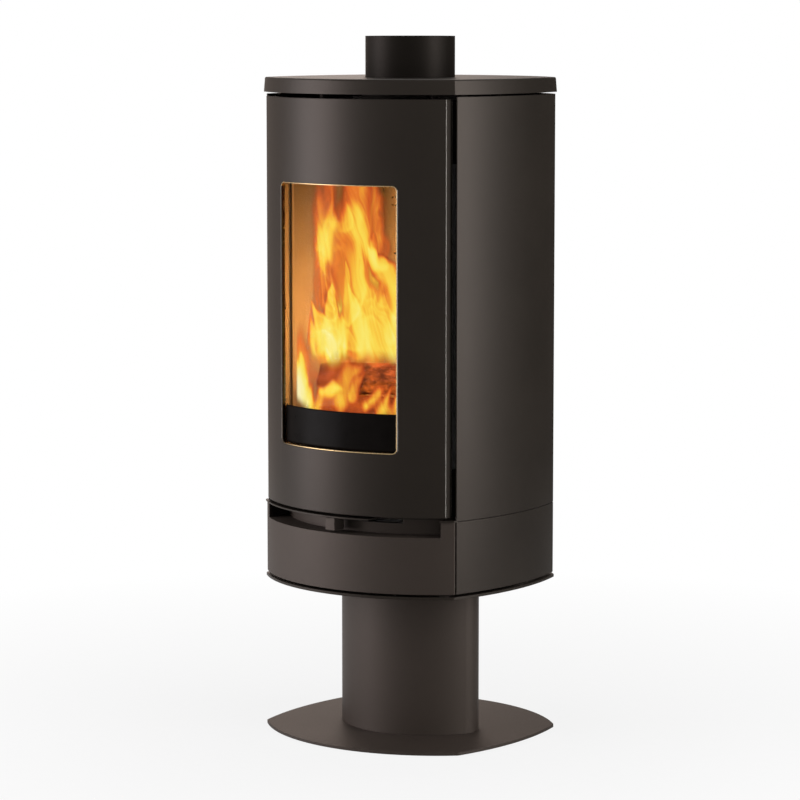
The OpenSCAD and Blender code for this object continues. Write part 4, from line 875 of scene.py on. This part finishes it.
def veils(x, z, seed):
    """Thin sheets of fire one behind the other, about 0 to 2.

    Each is a noise drawn out upwards: past its level it lights up at a sharp edge and fades as e^(-depth).
    """
    total = 0
    for number in range(4):
        grow = 1.45 ** number
        drawn = layered_noise(x * 13 * grow + 3 * number, z * 3.6 * grow, 0 * x + 0.37 * number,
                              seed + 7 * number, 2)
        for level in (0.36, 0.50, 0.63):
            depth = drawn - level
            lit = 0.65 * np.exp(-np.abs(depth) / 0.075) + 0.35 * np.exp(-np.abs(depth) / 0.016)
            total = total + soft_step(-0.012 * grow, 0.012 * grow, depth) * lit / grow ** 0.5
    return total / 1.68


def flame_sheet(name, radius, low, high, half, flames, seed, rough, share, material):
    """Curved sheet about the front's centre line, coloured and covered by the heat of its flames.

    heat = flames * (1 - share + share * veils), both seen through wavy noise that grows with height.
    Seen heat = 1.18 * (1 - e^(-heat / 0.85)); it picks the colour and how much of the sheet is covered.
    """
    across, up = np.linspace(-half, half, 256), np.linspace(low, high, 230)
    z, x = np.meshgrid(up, across, indexing="ij")
    swirl = rough * (0.55 + 0.9 * (z - low) / (high - low))
    wave = layered_noise(x * 16, z * 9, 0 * x, seed, 3) - 0.5
    curl = layered_noise(x * 16 + 9, z * 9 + 4, 0 * x, seed + 9, 3) - 0.5
    fine = layered_noise(x * 60 + 3, z * 26, 0 * x, seed + 40, 2) - 0.5
    bent_x, bent_z = x + swirl * wave, z + 1.6 * swirl * curl
    heat = flame_heat(bent_x + 0.006 * fine, bent_z, flames, seed + 20)
    lean = 0.25 * (z - 0.7)
    thin = veils(bent_x + lean + 0.020 * wave, bent_z + 0.03 * curl, seed + 60)
    seen = 1.18 * (1 - np.exp(-heat * (1 - share + share * thin) / 0.85))
    foot = low + 0.022 + 0.060 * curl
    fade = soft_step(foot - 0.014, foot + 0.014, z) * (1 - soft_step(high - 0.016, high, z))
    fade = fade * soft_step(half, half - 0.010, np.abs(x))
    stops = np.array([0.0, 0.20, 0.34, 0.46, 0.58, 0.70, 0.84, 1.0, 1.10, 1.17])
    colours = np.array([(0.22, 0.025, 0.008), (0.44, 0.062, 0.016), (0.72, 0.125, 0.024), (0.86, 0.24, 0.035),
                        (0.94, 0.42, 0.045), (1.0, 0.62, 0.065), (1.0, 0.76, 0.10), (1.0, 0.85, 0.17),
                        (1.0, 0.92, 0.36), (1.0, 0.97, 0.75)])
    cover = np.interp(seen, [0.02, 0.20, 0.40, 0.60, 0.85], [0.0, 0.46, 0.82, 0.94, 0.99]) * fade
    shade = np.stack([np.interp(seen, stops, colours[:, i]) for i in range(3)] + [cover], -1)
    points = on_front(x, radius, z)
    quads = grid_faces(*x.shape)[:, ::-1]
    lit = cover.reshape(-1)[quads].max(1) > 0.004
    mesh = build_mesh(name, points.reshape(-1, 3), quads[lit])
    store_colours(mesh, "flame_glow", shade)
    piece = add_piece(name, mesh, material, "root")
    piece.visible_shadow = piece.visible_diffuse = False


class STOVE_OT_flames(bpy.types.Operator):
    """Light the fire"""
    bl_idname = "stove.flames"
    bl_label = "Light the fire"

    def execute(self, context):
        coat = Finish("flame_sheet")
        glow = coat.add("Attribute", attribute_name="flame_glow").outputs
        strength = context.scene.stove_fire.flame_strength
        light = coat.add("Emission", {"Color": glow["Color"], "Strength": strength})
        clear = coat.add("BsdfTransparent")
        both = {0: glow["Alpha"], 1: clear.outputs[0], 2: light.outputs[0]}
        material = coat.close(coat.add("MixShader", both))
        for sheet in FLAME_SHEETS:
            flame_sheet(*sheet, material)
        return {"FINISHED"}


class STOVE_OT_stage(bpy.types.Operator):
    """Set the floor, the backdrop, the lamps and the camera"""
    bl_idname = "stove.stage"
    bl_label = "Set the stage"

    def execute(self, context):
        look = context.scene.stove_stage
        self.backdrop(context.scene, look)
        self.floor()
        self.softbox("softbox_left", (-1.62, -1.63, 0.85), (1.3, 1.9), look.left_lamp, (1, 0.95, 0.98))
        self.softbox("softbox_right", (2.19, 0.47, 0.95), (0.9, 1.7), look.right_lamp, (1, 1, 1))
        self.screen()
        power = context.scene.stove_fire.firelight
        self.firelight("firelight", (0.035, -0.02, 0.74), 0.80 * power)
        self.firelight("firelight_front", (0.01, -0.192, 0.70), 0.26 * power)
        self.camera(context.scene, look)
        return {"FINISHED"}

    def backdrop(self, scene, look):
        """White where it is seen, dimmer as a light."""
        air = Finish("studio_air", "world")
        strength = air.scaled(air.seen_ray(), 0.0, 1.0, look.ambient, 1.0)
        scene.world = air.close(air.add("Background", {"Color": WHITE, "Strength": strength}))

    def floor(self):
        """Round floor of 6 m radius, in rings out from the middle; white, and it keeps a soft shadow."""
        reach, angle = np.array([0.35, 0.8, 1.6, 3.0, 6.0]), np.linspace(0, 2 * np.pi, 64, endpoint=False)
        q, a = np.meshgrid(reach, angle, indexing="ij")
        points = np.stack([q * np.cos(a), q * np.sin(a), 0 * a - FLOOR_DROP], -1)
        vertices = np.vstack([points.reshape(-1, 3), [[0, 0, -FLOOR_DROP]]])
        middle = fan(np.arange(len(angle)), q.size)
        mesh = build_mesh("studio_floor", vertices, grid_faces(*q.shape, wrap_columns=True), middle)
        coat = Finish("pale_floor")
        paper = coat.add("BsdfDiffuse", {"Color": coat.ramp(coat.noise(40, 2.0), (0.44,) * 3, (0.47,) * 3)})
        white = coat.add("Emission", {"Color": WHITE, "Strength": 1.0})
        away = coat.add("VectorMath", {0: coat.place()}, operation="LENGTH").outputs["Value"]
        by_foot = coat.scaled(away, 0.3, 1.6, 0.86, 1.0)
        dim = coat.scaled(coat.axes()["X"], -0.7, 0.4, 1.0, 0.08)
        weight = coat.scaled(coat.add("LightPath").outputs["Is Glossy Ray"], 0.0, 1.0, 1.0, dim)
        seen = coat.maths("MULTIPLY", coat.maths("MULTIPLY", coat.seen_ray(), by_foot), weight)
        material = coat.close(coat.add("MixShader", {0: seen, 1: paper.outputs[0], 2: white.outputs[0]}))
        floor = new_object("studio_floor", mesh)
        mesh.materials.append(material)

    def screen(self):
        """Brown screen behind the stove, off camera: an arc, dim in reflections and lighter as a lamp."""
        angle, up = np.radians(np.linspace(40, 196, 60)), np.array([0.002, 1.3, 2.6])
        a, z = np.meshgrid(angle, up, indexing="ij")
        points = np.stack([SCREEN_RADIUS * np.cos(a), SCREEN_RADIUS * np.sin(a), z], -1)
        mesh = build_mesh("studio_screen", points.reshape(-1, 3), grid_faces(*a.shape))
        coat = Finish("brown_screen")
        across, _, height = coat.axes()
        far_left = coat.scaled(across, -2.25, -1.7, 0.25, 0.0)
        low = coat.scaled(height, 0.05, 0.50, 1.0, 0.0)
        greys = {0.0: 0.50, 0.06: 0.45, 0.12: 1.5, 0.20: 1.9, 0.27: 0.80, 0.40: 0.22, 0.60: 0.04}
        stops = [(position, (grey,) * 3) for position, grey in greys.items()]
        shading = coat.shading(coat.scaled(across, -SCREEN_RADIUS, 1.9), stops)
        bright = coat.maths("MULTIPLY_ADD", far_left, low, shading)
        mirrored = coat.add("LightPath").outputs["Is Glossy Ray"]
        material = coat.close(coat.add("Emission", {
            "Color": coat.ramp(coat.noise(3, 2.0), (0.98, 0.82, 0.73), (1.0, 0.84, 0.75)),
            "Strength": coat.scaled(mirrored, 0.0, 1.0, 0.3, bright),
        }))
        screen = new_object("studio_screen", mesh)
        mesh.materials.append(material)
        screen.visible_camera = screen.visible_transmission = screen.visible_shadow = False

    def softbox(self, name, place, size, power, colour):
        """Area lamp at a place, facing the stove."""
        light = bpy.data.lights.new(name, "AREA")
        light.shape, light.size, light.size_y = "RECTANGLE", *size
        light.energy, light.color = power, colour
        lamp = new_object(name, light)
        lamp.location = place
        across, along, down = (t - p for t, p in zip(LAMP_AIM, place))
        tip = math.pi / 2 - math.atan2(-down, math.hypot(across, along))
        lamp.rotation_euler = (tip, 0, math.atan2(along, across) - math.pi / 2)

    def firelight(self, name, place, power):
        """Small orange lamp in the fire that isn't itself seen."""
        light = bpy.data.lights.new(name, "POINT")
        light.energy, light.color, light.shadow_soft_size = power, (1.0, 0.58, 0.26), 0.02
        lamp = new_object(name, light)
        lamp.location = place
        lamp.visible_camera = lamp.visible_glossy = lamp.visible_transmission = False

    def camera(self, scene, look):
        """Camera with a long lens, turned and tipped down at the stove."""
        data = bpy.data.cameras.new("studio_camera")
        data.lens, data.sensor_width = look.lens, SENSOR_WIDTH
        camera = new_object("studio_camera", data)
        camera.location = look.camera_place
        camera.rotation_euler = (math.pi / 2 - look.camera_pitch, 0, look.camera_heading)
        scene.camera = camera
        scene.view_settings.view_transform = "Standard"


class STOVE_PT_workshop(bpy.types.Panel):
    """Steps and settings of the stove"""
    bl_label = "Stove"
    bl_idname = "STOVE_PT_workshop"
    bl_space_type = "VIEW_3D"
    bl_region_type = "UI"
    bl_category = "Stove"

    def draw(self, context):
        layout = self.layout
        for step in STEPS:
            layout.operator(step.bl_idname)
        for key, group in SETTINGS.items():
            box = layout.box()
            for prop in group.__annotations__:
                box.prop(getattr(context.scene, key), prop)


STEPS = [STOVE_OT_paint, STOVE_OT_castings, STOVE_OT_metals, STOVE_OT_lining, STOVE_OT_window, STOVE_OT_logs,
         STOVE_OT_embers, STOVE_OT_flames, STOVE_OT_stage]


def register():
    for group in SETTINGS.values():
        bpy.utils.register_class(group)
    for key, group in SETTINGS.items():
        setattr(bpy.types.Scene, key, bpy.props.PointerProperty(type=group))
    for made in STEPS + [STOVE_PT_workshop]:
        bpy.utils.register_class(made)


def unregister():
    for made in reversed(STEPS + [STOVE_PT_workshop]):
        bpy.utils.unregister_class(made)
    for key, group in SETTINGS.items():
        delattr(bpy.types.Scene, key)
        bpy.utils.unregister_class(group)


def main():
    register()
    bpy.ops.stove.paint()
    bpy.ops.stove.castings()
    bpy.ops.stove.metals()
    bpy.ops.stove.lining()
    bpy.ops.stove.window()
    bpy.ops.stove.logs()
    bpy.ops.stove.embers()
    bpy.ops.stove.flames()
    bpy.ops.stove.stage()


if __name__ == "__main__":
    main()
